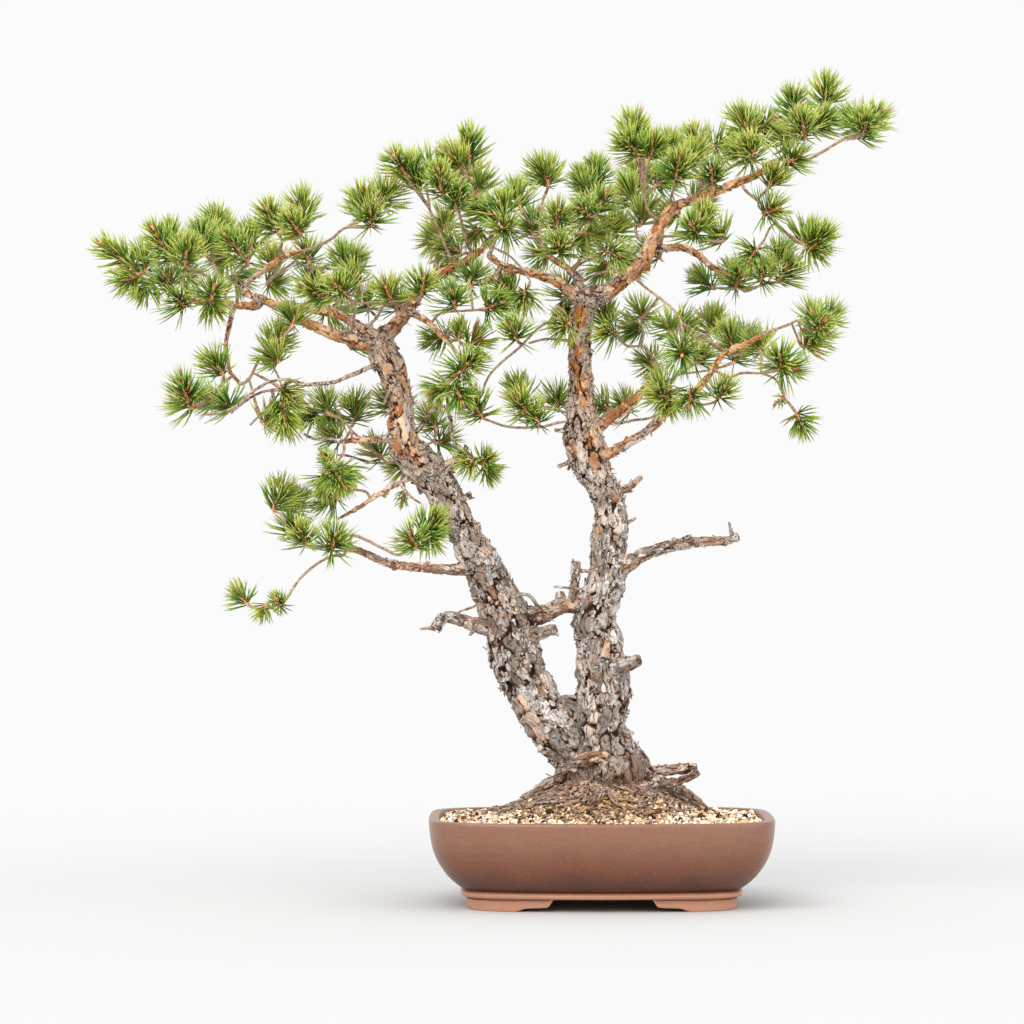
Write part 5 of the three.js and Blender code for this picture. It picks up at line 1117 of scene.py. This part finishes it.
def makeTrunks():
    for seed, (name, path) in enumerate(trunkPaths.items(), 3):
        skin = newSkinMesh()
        rollSkin(skin, wood["trunkAround"], len(path["along"]) - 1, barkSkin(
            path, wood["plateWidth"], wood["plateLength"], wood["fissureDepth"], wood["ridgeHeight"],
            seed, trunkAge(name)))
        replaced = ["wood"] if name == "leftTrunk" else []
        makePiece(name + "Bark", takeArrays(skin), [oldBark], replaced, wood["trunkSharp"])


# Dead limbs and stubs have kept their grey bark
def isDead(name):
    return name.startswith(("dead", "stub", "cross", "short", "rising"))


# Living limbs are orange except for a rough grey collar where they leave the trunk
def limbAge(name):
    if isDead(name):
        return evenAge(0.8)
    return lambda along, points, outward: 0.2 + 2.4 * np.exp(-along / (26 * mm))


def makeLimbs():
    skins = {False: newSkinMesh(), True: newSkinMesh()}
    for i, (name, parent, points, endDepth, startRadius, endRadius) in enumerate(limbRoutes):
        root, _, _ = nearestStation(routes[parent], *points[0])
        stations = stationsAlong([root[:2], *points], root[2], reference["depthSpread"] * endDepth,
                                 startRadius, endRadius)
        routes[name] = stations
        path = smoothPath([fromView(*row[:3]) for row in stations], stations[:, 3], wood["limbStep"])
        beyond = np.maximum(path["along"] - root[3], 0) / (wood["flareReach"] * stations[0, 3])
        path["radius"] = path["radius"] * (1 + wood["flareRise"] * np.exp(-beyond))
        limbPaths[name] = path
        around = int(np.clip(stations[0, 3] * 2 * math.pi / (1.9 * mm), 8, 30))
        scale = np.clip(stations[0, 3] / (10 * mm), 0.16, 0.8)
        rollSkin(skins[isDead(name)], around, len(path["along"]) - 1, barkSkin(
            path, 10 * scale + 1.5, 20 * scale + 3, 2.4 * scale, 1.4 * scale, 5 + i, limbAge(name), 0.25))
    makePiece("limbBark", joinArrays([takeArrays(skins[False], 0), takeArrays(skins[True], 1)]),
              [limbCover, rootCover], (), wood["limbSharp"])


# Bark of one age all over
def evenAge(age):
    return lambda along, points, outward: np.full(len(along), age)


# Roots have thin tan bark; the swellings at the trunks' foot and fork have the trunks' plates
def makeRoots():
    skins = [newSkinMesh(), newSkinMesh()]
    for i, (points, startDepth, endDepth, startRadius, endRadius, swelling) in enumerate(rootRoutes):
        stations = stationsAlong(points, startDepth, endDepth, startRadius, endRadius)
        path = smoothPath([fromView(*row[:3]) for row in stations], stations[:, 3], wood["rootStep"])
        bark = barkSkin(path, 6, 14, 2.8, 4.6, 80 + i, evenAge(0.5), 0.1)
        if swelling:
            bark = barkSkin(path, wood["plateWidth"], 24, wood["fissureDepth"], 4.5, 80 + i, evenAge(1.2))
        rollSkin(skins[swelling], 36, len(path["along"]) - 1, bark)
    makePiece("rootBark", joinArrays([takeArrays(skins[0], 0), takeArrays(skins[1], 1)]),
              [rootCover, oldBark], (), wood["rootSharp"])


limbPaths = {}
makeTrunks()
print("stage: trunks made")
makeLimbs()
makeRoots()
print("stage: limbs and roots made,", sum(pieceCounts.values()), "triangles so far")


flakes = {
    "onTrunk": 1500, "onLimbs": 900, "length": 9 * mm, "width": 5.5 * mm, "thickness": 0.6 * mm,
    "chipShare": 0.16, "tilt": 0.4, "yaw": 0.28,   # chipShare is how thick a template of length 1 is
}


# A flake: a thin curled chip of bark, cut from a small grid
def flakeTemplate(curl):
    chip = newSkinMesh()
    bmesh.ops.create_grid(chip, x_segments=1, y_segments=2, size=0.5)
    for vert in chip.verts:
        vert.co.x *= 1 - 0.35 * abs(vert.co.y) * 2
        vert.co.z = curl * vert.co.y * vert.co.y - 0.3 * vert.co.x * vert.co.x
    bmesh.ops.solidify(chip, geom=chip.faces, thickness=flakes["chipShare"])
    bmesh.ops.recalc_face_normals(chip, faces=chip.faces)
    return takeArrays(chip)


flakeShapes = [flakeTemplate(curl) for curl in (0.3, 0.7, -0.3, 0.1)]


def scatterFlakes(path, count, size, lift, ageAt, slotIndex=0):
    along = rng.uniform(0.02, 0.995, count) * path["along"][-1]
    turn = rng.uniform(0, 2 * math.pi, count)
    places, outward, tangent = onPath(path, along, turn, np.full(count, lift))
    across = np.cross(tangent, outward)
    yaw = rng.normal(0, flakes["yaw"], count)[:, None]
    upward = tangent * np.cos(yaw) + across * np.sin(yaw)
    tilt = np.abs(rng.normal(0, flakes["tilt"], count))[:, None] * rng.choice([-1, 1], count)[:, None]
    longAxis = unit(upward * np.cos(tilt) + outward * np.sin(tilt))
    faceAxis = unit(outward - longAxis * np.sum(outward * longAxis, axis=1, keepdims=True))
    wideAxis = np.cross(longAxis, faceAxis)
    scale = rng.lognormal(0, 0.4, count)[:, None] * size
    axes = np.stack([wideAxis * flakes["width"] * scale, longAxis * flakes["length"] * scale,
                     faceAxis * flakes["thickness"] / flakes["chipShare"] * scale ** 0.5], axis=2)
    ages = ageAt(along, places, outward)
    axes = axes * np.where(ages < -0.3, 0.4, 1.0)[:, None, None]   # peeled strips have only crumbs
    tones = np.column_stack([rng.uniform(0.1, 0.9, count), ages])
    kinds = np.arange(count) % len(flakeShapes)
    copies = joinArrays([part for part, _ in layKinds(flakeShapes, kinds, axes, places, tones)])
    copies["tones"][:, 0] = 0.85
    copies["slots"][:] = slotIndex
    return copies


def makeFlakes():
    chips = [scatterFlakes(path, flakes["onTrunk"], 1.0, 0.2 * mm, trunkAge(name))
             for name, path in trunkPaths.items()]
    makePiece("trunkFlakes", joinArrays(chips), [oldBark])
    area = {name: path["along"][-1] * path["radius"][0] for name, path in limbPaths.items()}
    chips = []
    for name, path in limbPaths.items():
        count = max(4, round(flakes["onLimbs"] * area[name] / sum(area.values())))
        size = float(np.clip(path["radius"][0] / (9 * mm), 0.25, 0.85))
        chips.append(scatterFlakes(path, count, size, 0.0, limbAge(name), int(isDead(name))))
    makePiece("limbFlakes", joinArrays(chips), [limbCover, rootCover])


makeFlakes()
print("stage: bark flakes made")


spray = {
    "needleLength": 37 * mm, "needleWidth": 2.2 * mm, "pairsPerMm": 1.55, "leastPairs": 38,
    "mostPairs": 64, "footLean": 74, "tipLean": 30, "leanScatter": 10, "turnStep": 137.508,
    "shootRadius": 1.35 * mm, "coreRadius": 2.2 * mm, "leastShoot": 16 * mm, "leastStretch": 5 * mm,
    "stemSides": 7, "stemStep": 3.2 * mm, "budLength": 7 * mm, "budWidth": 2.6 * mm, "boxMargin": 0.4 * mm,
}


# A pair of needles from one sheath, 1 long, each a three-sided spike with one bend
def needlePair(spread, roll, bend):
    pair = newSkinMesh()
    layer = pair.verts.layers.float_color["tone"]
    for side in (-1, 1):
        spike = bmesh.new()
        bmesh.ops.create_cone(spike, cap_ends=True, segments=3, radius1=0.5, radius2=0, depth=1)
        rising = [edge for edge in spike.edges if abs(edge.verts[0].co.z - edge.verts[1].co.z) > 0.5]
        bmesh.ops.subdivide_edges(spike, edges=rising, cuts=1)
        for vert in spike.verts:
            height = vert.co.z + 0.5
            if 0.2 < height < 0.8:
                vert.co.x, vert.co.y, height = vert.co.x * 2.0, vert.co.y * 1.4, 0.66
            elif height <= 0.2:
                vert.co.x, vert.co.y = vert.co.x * 0.8, vert.co.y * 0.6
            reach = math.sin(spread) * height * side
            vert.co.x = vert.co.x * widthShare + math.cos(roll) * reach + bend * height * height
            vert.co.y = vert.co.y * widthShare + math.sin(roll) * reach
            vert.co.z = height * math.cos(spread)
        start = len(pair.verts)
        mesh = meshFrom("spike", spike)
        pair.from_mesh(mesh)
        bpy.data.meshes.remove(mesh)
        pair.verts.ensure_lookup_table()
        for vert in pair.verts[start:]:
            vert[layer] = (min(max(vert.co.z, 0), 1), 0, 0, 1)
    return takeArrays(pair)


widthShare = spray["needleWidth"] / spray["needleLength"]
needleShapes = [needlePair(spread, roll, bend) for spread, roll, bend in (
    (0.09, 0.2, 0.10), (0.13, 1.2, 0.16), (0.07, 2.1, 0.05), (0.16, 2.9, 0.12), (0.11, 0.8, 0.22),
    (0.10, 1.7, -0.04))]


# A bud: an egg drawn out to a point, 1 long
def budTemplate():
    bud = newSkinMesh()
    bmesh.ops.create_icosphere(bud, subdivisions=2, radius=0.5)
    layer = bud.verts.layers.float_color["tone"]
    for vert in bud.verts:
        height = vert.co.z + 0.5
        taper = 1.0 - 0.72 * max(height - 0.3, 0) / 0.7
        vert.co.x, vert.co.y, vert.co.z = vert.co.x * taper, vert.co.y * taper, height
        vert[layer] = (1, 0, 0, 1)
    return takeArrays(bud, 1)


budShape = budTemplate()


# Needles that would leave the CAD box are shortened towards their foot
def keepInside(copies, places):
    count = len(places)
    offsets = copies["points"].reshape(count, -1, 3) - places[:, None, :]
    high = (np.array(cadHigh[:]) - spray["boxMargin"] - places)[:, None, :]
    low = (np.array(cadLow[:]) + spray["boxMargin"] - places)[:, None, :]
    bound = np.where(offsets > 0, high, low)
    moved = np.abs(offsets) > 1e-9
    room = np.where(moved, bound / np.where(moved, offsets, 1), 1.0)
    share = np.clip(room.reshape(count, -1).min(axis=1), 0.05, 1.0)
    copies["points"] = (places[:, None, :] + offsets * share[:, None, None]).reshape(-1, 3)
    return copies


# Needle pairs wind up a shoot, wide open at its foot and nearly straight on at its tip
def growNeedles(foot, tip, vigour):
    axis = unit(tip - foot)
    length = np.linalg.norm(tip - foot)
    pairs = spray["pairsPerMm"] * length / mm
    pairs = int(np.clip(pairs, spray["leastPairs"], spray["mostPairs"]) * vigour)
    share = (np.arange(pairs) + rng.uniform(0, 1, pairs)) / pairs
    turn = np.radians(spray["turnStep"]) * np.arange(pairs) + rng.normal(0, 0.25, pairs)
    lean = spray["footLean"] + (spray["tipLean"] - spray["footLean"]) * share + rng.normal(0, 5)
    lean = np.radians(lean + rng.normal(0, spray["leanScatter"], pairs))
    outward, heading = fanOut(axis, [0.31, 0.9, 0.17], turn, lean)
    heading = unit(heading + np.array([0, 0, 0.08]))   # needles reach up a little for the light
    places = foot + axis * (length * (0.86 * share - 0.04))[:, None]
    places = places + outward * (0.8 * spray["coreRadius"])
    lengths = vigour * spray["needleLength"] * rng.uniform(0.76, 1.1, pairs) * (1 - 0.36 * share ** 2)
    lengths = lengths * rng.uniform(0.9, 1.06)
    inward = unit(axis - heading * np.sum(heading * axis, axis=1, keepdims=True))
    width = spray["needleLength"] * rng.uniform(0.85, 1.15, pairs)
    axes = axesFor(inward, heading, width, lengths)
    tuft = rng.uniform(0.05, 0.95)
    # Pairs nearer a shoot's foot lean to the painted-shade green, as shade deep inside the tuft
    tones = np.column_stack([rng.uniform(0, 1, pairs), np.clip(tuft - 0.25 * (1 - share), 0, 1)])
    kinds = rng.integers(0, len(needleShapes), pairs)
    return [keepInside(*laid) for laid in layKinds(needleShapes, kinds, axes, places, tones)]


# Two to four buds sit on a shoot's tip
def growBuds(tip, axis):
    count = int(rng.integers(2, 5))
    first = np.arange(count) == 0   # the middle bud is the largest and stands straight on
    turn = rng.uniform(0, 2 * math.pi) + np.arange(count) * 2 * math.pi / max(count - 1, 1)
    lean = np.where(first, 0.0, 0.5)
    outward, heading = fanOut(axis, [0.4, 0.2, 0.9], turn, lean)
    side = unit(np.cross(heading, [0.2, 0.7, 0.6]))
    length = spray["budLength"] * np.where(first, 1.0, 0.62) * rng.uniform(0.8, 1.15, count)
    width = spray["budWidth"] * np.where(first, 1.0, 0.75)
    places = tip + outward * (lean * 1.6 * mm)[:, None]
    return layCopies(budShape, axesFor(side, heading, width, length), places, np.zeros((count, 2)))


# Skin for rollSkin: a knobbly twig whose last stretch, newGrowth long, is this year's
def stemSkin(path, newGrowth=0.0, wobble=0.3):
    def place(u, v):
        along, turn = v * path["along"][-1], u * 2 * math.pi
        radius = np.interp(along, path["along"], path["radius"])
        lifts = [r * wobble * noise.noise(Vector((3 * math.cos(t), 3 * math.sin(t), a / (2.4 * mm))))
                 for a, t, r in zip(along, turn, radius)]
        points, _, _ = onPath(path, along, turn, np.array(lifts))
        fresh = np.clip((along - path["along"][-1] + newGrowth) / (6 * mm) + 1, 0, 1) * (newGrowth > 0)
        return points, [(0.5 * tone, 0, 0, 1) for tone in fresh], points

    return place


# A spray starts at the nearest place of its parent, or grows straight on from the parent's end
def makeSpray(row):
    name, parent, stemPoints, stemEnd, stemRadius, shoots = row
    parentRoute = routes[parent]
    root, index, t = nearestStation(parentRoute, *stemPoints[0])
    endDepth = reference["depthSpread"] * stemEnd
    stations = stationsAlong([root[:2], *stemPoints], root[2], endDepth, stemRadius, 0.8 * stemRadius)
    stem = [fromView(*station[:3]) for station in stations]
    radii = list(np.maximum(stations[:, 3], spray["shootRadius"]))
    if index == len(parentRoute) - 2 and t > 0.98:
        end, before = [fromView(*parentRoute[k][:3]) for k in (-1, -2)]
        direction = unit(end - before)
        stem = [end - direction * 1 * mm, end + direction * 2.5 * mm, *stem[1:]]
        radii = [root[3], 0.9 * root[3], *radii[1:]]
    skin = newSkinMesh()
    parts = []
    for i, shoot in enumerate(shoots):
        if shoot is None:
            path = smoothPath(stem, radii, spray["stemStep"])
            rollSkin(skin, spray["stemSides"], len(path["along"]) - 1, stemSkin(path))
            continue
        footX, footY, tipX, tipY, footDepth, tipDepth = shoot[:6]
        between = shoot[6] if len(shoot) > 6 else []
        footDepth = reference["depthSpread"] * footDepth
        foot = fromView(footX, footY, footDepth)
        tip = fromView(tipX, tipY, reference["depthSpread"] * tipDepth)
        if i == 0:
            way = stem + [fromView(x, y, (endDepth + footDepth) / 2) for x, y in between]
            wayRadii = radii + [radii[-1]] * len(between)
        else:
            aim = between[0] if between else (footX, footY)
            leave, _, _ = nearestStation(stations[1:] if len(stations) > 2 else stations, *aim)
            way = [fromView(*leave[:3])]
            for k, (x, y) in enumerate(between):
                share = (k + 1) / (len(between) + 1)
                way.append(fromView(x, y, leave[2] + (footDepth - leave[2]) * share))
            wayRadii = [spray["shootRadius"]] * len(way)
        if np.linalg.norm(foot - way[-1]) < spray["leastStretch"]:
            foot = way[-1] + unit(tip - way[-1]) * spray["leastStretch"]
        axis = unit(tip - foot)
        tip = foot + axis * max(np.linalg.norm(tip - foot), spray["leastShoot"])
        path = smoothPath([*way, foot, tip], [*wayRadii, spray["coreRadius"], spray["coreRadius"] * 0.85],
                          spray["stemStep"])
        rollSkin(skin, spray["stemSides"], len(path["along"]) - 1,
                 stemSkin(path, np.linalg.norm(tip - foot)))
        parts.extend(growNeedles(foot, tip, shoot[7] if len(shoot) > 7 else 1.0))
        parts.append(growBuds(tip, axis))
    parts.append(takeArrays(skin, 1))
    node = "spray_" + name
    replaced = [node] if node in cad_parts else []
    makePiece(inCamel(name) + "Spray", joinArrays(parts), [needleSkin, twigSkin],
              replaced, 180)


for row in sprayRoutes:
    makeSpray(row)
print("stage: sprays made,", sum(pieceCounts.values()), "triangles so far")


soil = {
    "edge": 99.5 * mm, "crown": 102.5 * mm, "rise": 52 * mm, "spread": 0.49, "shoulder": 2.3,
    "lean": 8 * mm, "wallInset": 13.9 * mm, "bedAround": 120, "bedRows": 50, "trunkFoot": 220 * mm,
    "grainSpacing": 4.1 * mm, "grainSize": 2.15 * mm, "grainShapes": 8,
    # Side of the bed as (inset, height) in mm, from the pot's floor up to its edge
    "side": [(58.4, 28.0), (50.4, 30), (30.4, 45), (15.9, 76), (13.9, 98)],
    "floorUpTo": 0.04, "sideUpTo": 0.24,   # shares of the bed's rows
    "thinRoots": 54, "sticks": 760, "scraps": 420, "litterReach": 185 * mm, "litterDepth": 140 * mm,
}


# 0 in the middle of the soil and 1 at the pot's wall
def soilShare(x, y):
    outline = potOutline(evenRun, soil["wallInset"])
    turns = np.unwrap(np.arctan2(outline[:, 1], outline[:, 0]))
    reach = np.interp(np.mod(np.arctan2(y, x), 2 * math.pi), turns, np.linalg.norm(outline, axis=1))
    return np.hypot(x, y) / reach


# The mound leans towards the right, where it stands steeper over the rim
def moundHeight(x, y):
    share = soilShare(x, y)
    edge = np.clip((1 - share) / 0.06, 0, 1)
    leaned = soilShare(x - soil["lean"] * np.clip(1 - share, 0, 1), y)
    return soil["edge"] + (soil["crown"] - soil["edge"]) * edge + soil["rise"] * np.exp(
        -((leaned / soil["spread"]) ** soil["shoulder"]))


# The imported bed: down the pot's inside, across its floor, and over the mound
def makeBedPiece():
    side = np.array(soil["side"], float)
    floorEnd, sideEnd = soil["floorUpTo"], soil["sideUpTo"]

    def place(u, v):
        low = v < sideEnd
        stops = np.linspace(floorEnd, sideEnd, len(side))
        inset, z = [np.interp(v, stops, side[:, k]) * mm for k in range(2)]
        walls = potOutline(u, inset) * np.clip(v / floorEnd, 0, 1)[:, None]
        share = np.clip(1 - (v - sideEnd) / (1 - sideEnd), 0, 1)
        top = potOutline(u, np.full_like(u, soil["wallInset"])) * share[:, None]
        flat = np.where(low[:, None], walls, top)
        rough = np.array([noise.fractal(Vector((x, y, 0)) * 120, 1.0, 2.0, 3) for x, y in flat])
        z = np.where(low, z, moundHeight(flat[:, 0], flat[:, 1]) - 1.4 * mm + 1.6 * mm * rough)
        return onPot(flat, z)

    skin = newSkinMesh()
    rollSkin(skin, soil["bedAround"], soil["bedRows"], place)
    makePiece("soilBed", takeArrays(skin), [gritBedInShade], ["soil"], 180)


# A grain: a ball of 20 faces or a block of 6, with its corners pushed about until it looks broken
def grainTemplate(seed):
    grain = newSkinMesh()
    if seed % 2:
        bmesh.ops.create_icosphere(grain, subdivisions=1, radius=1.0)
    else:
        bmesh.ops.create_cube(grain, size=1.35)
    shake = random.Random(seed)
    for vert in grain.verts:
        vert.co *= shake.uniform(0.72, 1.2)
    return takeArrays(grain)


# Places on the mound, lift above it
def moundSpots(x, y, lift):
    return onPot(np.column_stack([x, y]), moundHeight(x, y) + lift)


# True where a spot on the mound lies outside both trunks
def clearOfTrunks(spots, margin):
    clear = np.ones(len(spots), bool)
    for path in trunkPaths.values():
        low = path["centre"][:, 2] < soil["trunkFoot"]
        gaps = np.linalg.norm(spots[:, None, :] - path["centre"][low][None, ::4, :], axis=2)
        clear &= (gaps - path["radius"][low][None, ::4]).min(axis=1) > margin
    return clear


def scatterGrains():
    shapes = [grainTemplate(seed) for seed in range(soil["grainShapes"])]
    step = soil["grainSpacing"]
    xs = np.arange(-pot["halfLength"], pot["halfLength"], step)
    ys = np.arange(-pot["halfDepth"], pot["halfDepth"], step)
    x, y = [axis.ravel() for axis in np.meshgrid(xs, ys)]
    x = x + rng.uniform(-0.5, 0.5, len(x)) * step
    y = y + rng.uniform(-0.5, 0.5, len(y)) * step
    kept = (soilShare(x, y) < 0.985) & clearOfTrunks(moundSpots(x, y, 0), -4 * mm)
    x, y = x[kept], y[kept]
    count = len(x)
    size = soil["grainSize"] * rng.lognormal(0, 0.28, count)
    places = moundSpots(x, y, rng.uniform(-0.7, 0.6, count) * size)
    spin = unit(rng.normal(0, 1, (count, 3)))
    other = unit(np.cross(spin, rng.normal(0, 1, (count, 3))))
    axes = np.stack([spin * (size * rng.uniform(0.85, 1.35, count))[:, None], other * size[:, None],
                     np.cross(spin, other) * (size * rng.uniform(0.6, 0.95, count))[:, None]], axis=2)
    # Grit is darker towards the middle of the mound, round the trunks
    nearness = np.exp(-((np.hypot(x / pot["halfLength"], 0.6 * y / pot["halfDepth"]) / 0.52) ** 3))
    middleDarkening = 1 - 0.66 * nearness
    tones = np.column_stack([rng.uniform(0, 1, count) * middleDarkening, rng.uniform(0, 1, count)])
    kinds = rng.integers(0, len(shapes), count)
    parts = [copies for copies, _ in layKinds(shapes, kinds, axes, places, tones)]
    makePiece("soilGrains", joinArrays(parts), [grit])


# Fine roots creep out from the trunks over the mound
def scatterThinRoots():
    skin = newSkinMesh()
    for i in range(soil["thinRoots"]):
        turn = rng.uniform(0, 2 * math.pi)
        start, end = 30 * mm, rng.uniform(66, 120) * mm
        reach = np.linspace(start, end, 8)
        sway = np.cumsum(rng.normal(0, 0.14, 8))
        x, y = 1.25 * reach * np.cos(turn + sway), reach * np.sin(turn + sway)
        lift = rng.uniform(1.6, 4.8, 8) * mm
        thick = rng.uniform(1.3, 3.0) * mm
        path = smoothPath(moundSpots(x, y, lift), np.linspace(thick, 0.35 * thick, 8), 3.5 * mm)
        rollSkin(skin, 7, len(path["along"]) - 1, barkSkin(
            path, 5, 12, 0.8, 0.5, 120 + i, evenAge(0.5), 0.35))
    makePiece("thinRoots", takeArrays(skin), [rootCover], (), 180)


# Litter on the grit: bits of twig and scraps of bark
def scatterLitter():
    stick = newSkinMesh()
    bmesh.ops.create_cone(stick, cap_ends=True, segments=4, radius1=0.5, radius2=0.32, depth=1)
    stickShape = takeArrays(stick)
    parts = []
    for shape, count, length, width, thick in (
            (stickShape, soil["sticks"], 13 * mm, 1.6 * mm, 1.6 * mm),
            (flakeShapes[0], soil["scraps"], 6.5 * mm, 4.2 * mm, 4 * mm)):
        turn, reach = rng.uniform(0, 2 * math.pi, count), rng.beta(1.7, 2.3, count)
        x = reach * soil["litterReach"] * np.cos(turn)
        y = reach * soil["litterDepth"] * np.sin(turn)
        kept = (soilShare(x, y) < 0.95) & clearOfTrunks(moundSpots(x, y, 0), -2 * mm)
        x, y = x[kept], y[kept]
        count = len(x)
        yaw = rng.uniform(0, 2 * math.pi, count)
        slope = (moundSpots(x + 3 * mm * np.cos(yaw), y + 3 * mm * np.sin(yaw), 0) - moundSpots(x, y, 0))
        longAxis = unit(slope + rng.normal(0, 0.45 * mm, (count, 3)))
        wide = unit(np.cross(longAxis, [0, 0, 1]))
        face = np.cross(wide, longAxis)
        scale = rng.lognormal(0, 0.4, count)[:, None]
        longSide, flatSide = longAxis * length * scale, face * thick * scale ** 0.5
        if shape is stickShape:
            axes = np.stack([flatSide, wide * width * scale ** 0.5, longSide], axis=2)
        else:
            axes = np.stack([wide * width * scale, longSide, flatSide], axis=2)
        places = moundSpots(x, y, rng.uniform(2.0, 4.4, count) * mm)
        tones = np.column_stack([rng.uniform(0, 1, count), np.full(count, 0.3)])
        copies = layCopies(shape, axes, places, tones)
        copies["tones"][:, 0] = 0.35 + 0.55 * np.repeat(rng.uniform(0, 1, count), len(shape["points"]))
        parts.append(copies)
    makePiece("soilLitter", joinArrays(parts), [rootCover])


makeBedPiece()
scatterGrains()
scatterThinRoots()
scatterLitter()
print("stage: soil made")


studio = {
    "floorRadius": 3.4, "fadeFrom": 1.0, "fadeTo": 3.0, "backdrop": 0.965,
    "key": {"strength": 2.0, "angle": 50, "turn": (48, 0, -26)},
    "fill": {"strength": 1.0, "angle": 80, "turn": (66, 0, 52)},
}


def makeFloor():
    disc = bmesh.new()
    bmesh.ops.create_circle(disc, cap_ends=True, segments=96, radius=studio["floorRadius"])
    floor = addObject("studioFloor", meshFrom("studioFloor", disc))
    material, tree = newMaterial("plainPaleFloor")
    place = addNode(tree, "TexCoord")["Object"]
    reach = addNode(tree, "VectorMath", {"operation": "LENGTH"}, {0: place})["Value"]
    fade = addNode(tree, "MapRange",
                   {"interpolation_type": "SMOOTHSTEP", "From Min": studio["fadeFrom"],
                    "From Max": studio["fadeTo"]}, {"Value": reach})[0]
    # The floor's shade makes it as bright as the backdrop where nothing shadows it
    lamps = [studio["key"], studio["fill"]]
    lit = sum(lamp["strength"] * math.cos(math.radians(lamp["turn"][0])) for lamp in lamps)
    shade = studio["backdrop"] / (studio["backdrop"] + lit / math.pi)
    matt = addNode(tree, "BsdfDiffuse", {"Color": (shade, shade, shade, 1)})
    clear = addNode(tree, "BsdfTransparent")
    both = addNode(tree, "MixShader", links={0: fade, 1: matt[0], 2: clear[0]})
    addNode(tree, "OutputMaterial", links={"Surface": both[0]})
    floor.data.materials.append(material)


def makeLights():
    for name in ("key", "fill"):
        lamp = bpy.data.lights.new(name + "Light", "SUN")
        lamp.energy = studio[name]["strength"]
        lamp.angle = math.radians(studio[name]["angle"])
        holder = addObject(name + "Light", lamp)
        holder.rotation_euler = [math.radians(turn) for turn in studio[name]["turn"]]
    world = bpy.data.worlds.new("softStudio")
    world.use_nodes = True
    world.node_tree.nodes.clear()
    level = studio["backdrop"]
    sky = addNode(world.node_tree, "Background", {"Color": (level, level, level, 1), "Strength": 1.0})
    addNode(world.node_tree, "OutputWorld", links={"Surface": sky[0]})
    bpy.context.scene.world = world


def makeCamera():
    lens = bpy.data.cameras.new("photoView")
    lens.sensor_width = reference["sensorWidth"]
    lens.lens = lens.sensor_width * reference["eyeDistance"] / reference["unit"] / reference["frameUnits"]
    lens.clip_end = reference["farEnd"]
    camera = addObject("photoView", lens)
    camera.location = (reference["eyeX"] + shiftX, shiftY - reference["eyeDistance"],
                       reference["eyeHeight"])
    camera.rotation_euler = (math.pi / 2, 0, 0)
    bpy.context.scene.camera = camera


makeFloor()
makeLights()
makeCamera()
bpy.context.scene.view_settings.view_transform = "Standard"
print("stage: studio ready")

largest = max(pieceCounts, key=pieceCounts.get)
print("pieces", len(pieceCounts), "triangles", sum(pieceCounts.values()),
      "largest", largest, pieceCounts[largest])
bpy.context.view_layer.update()
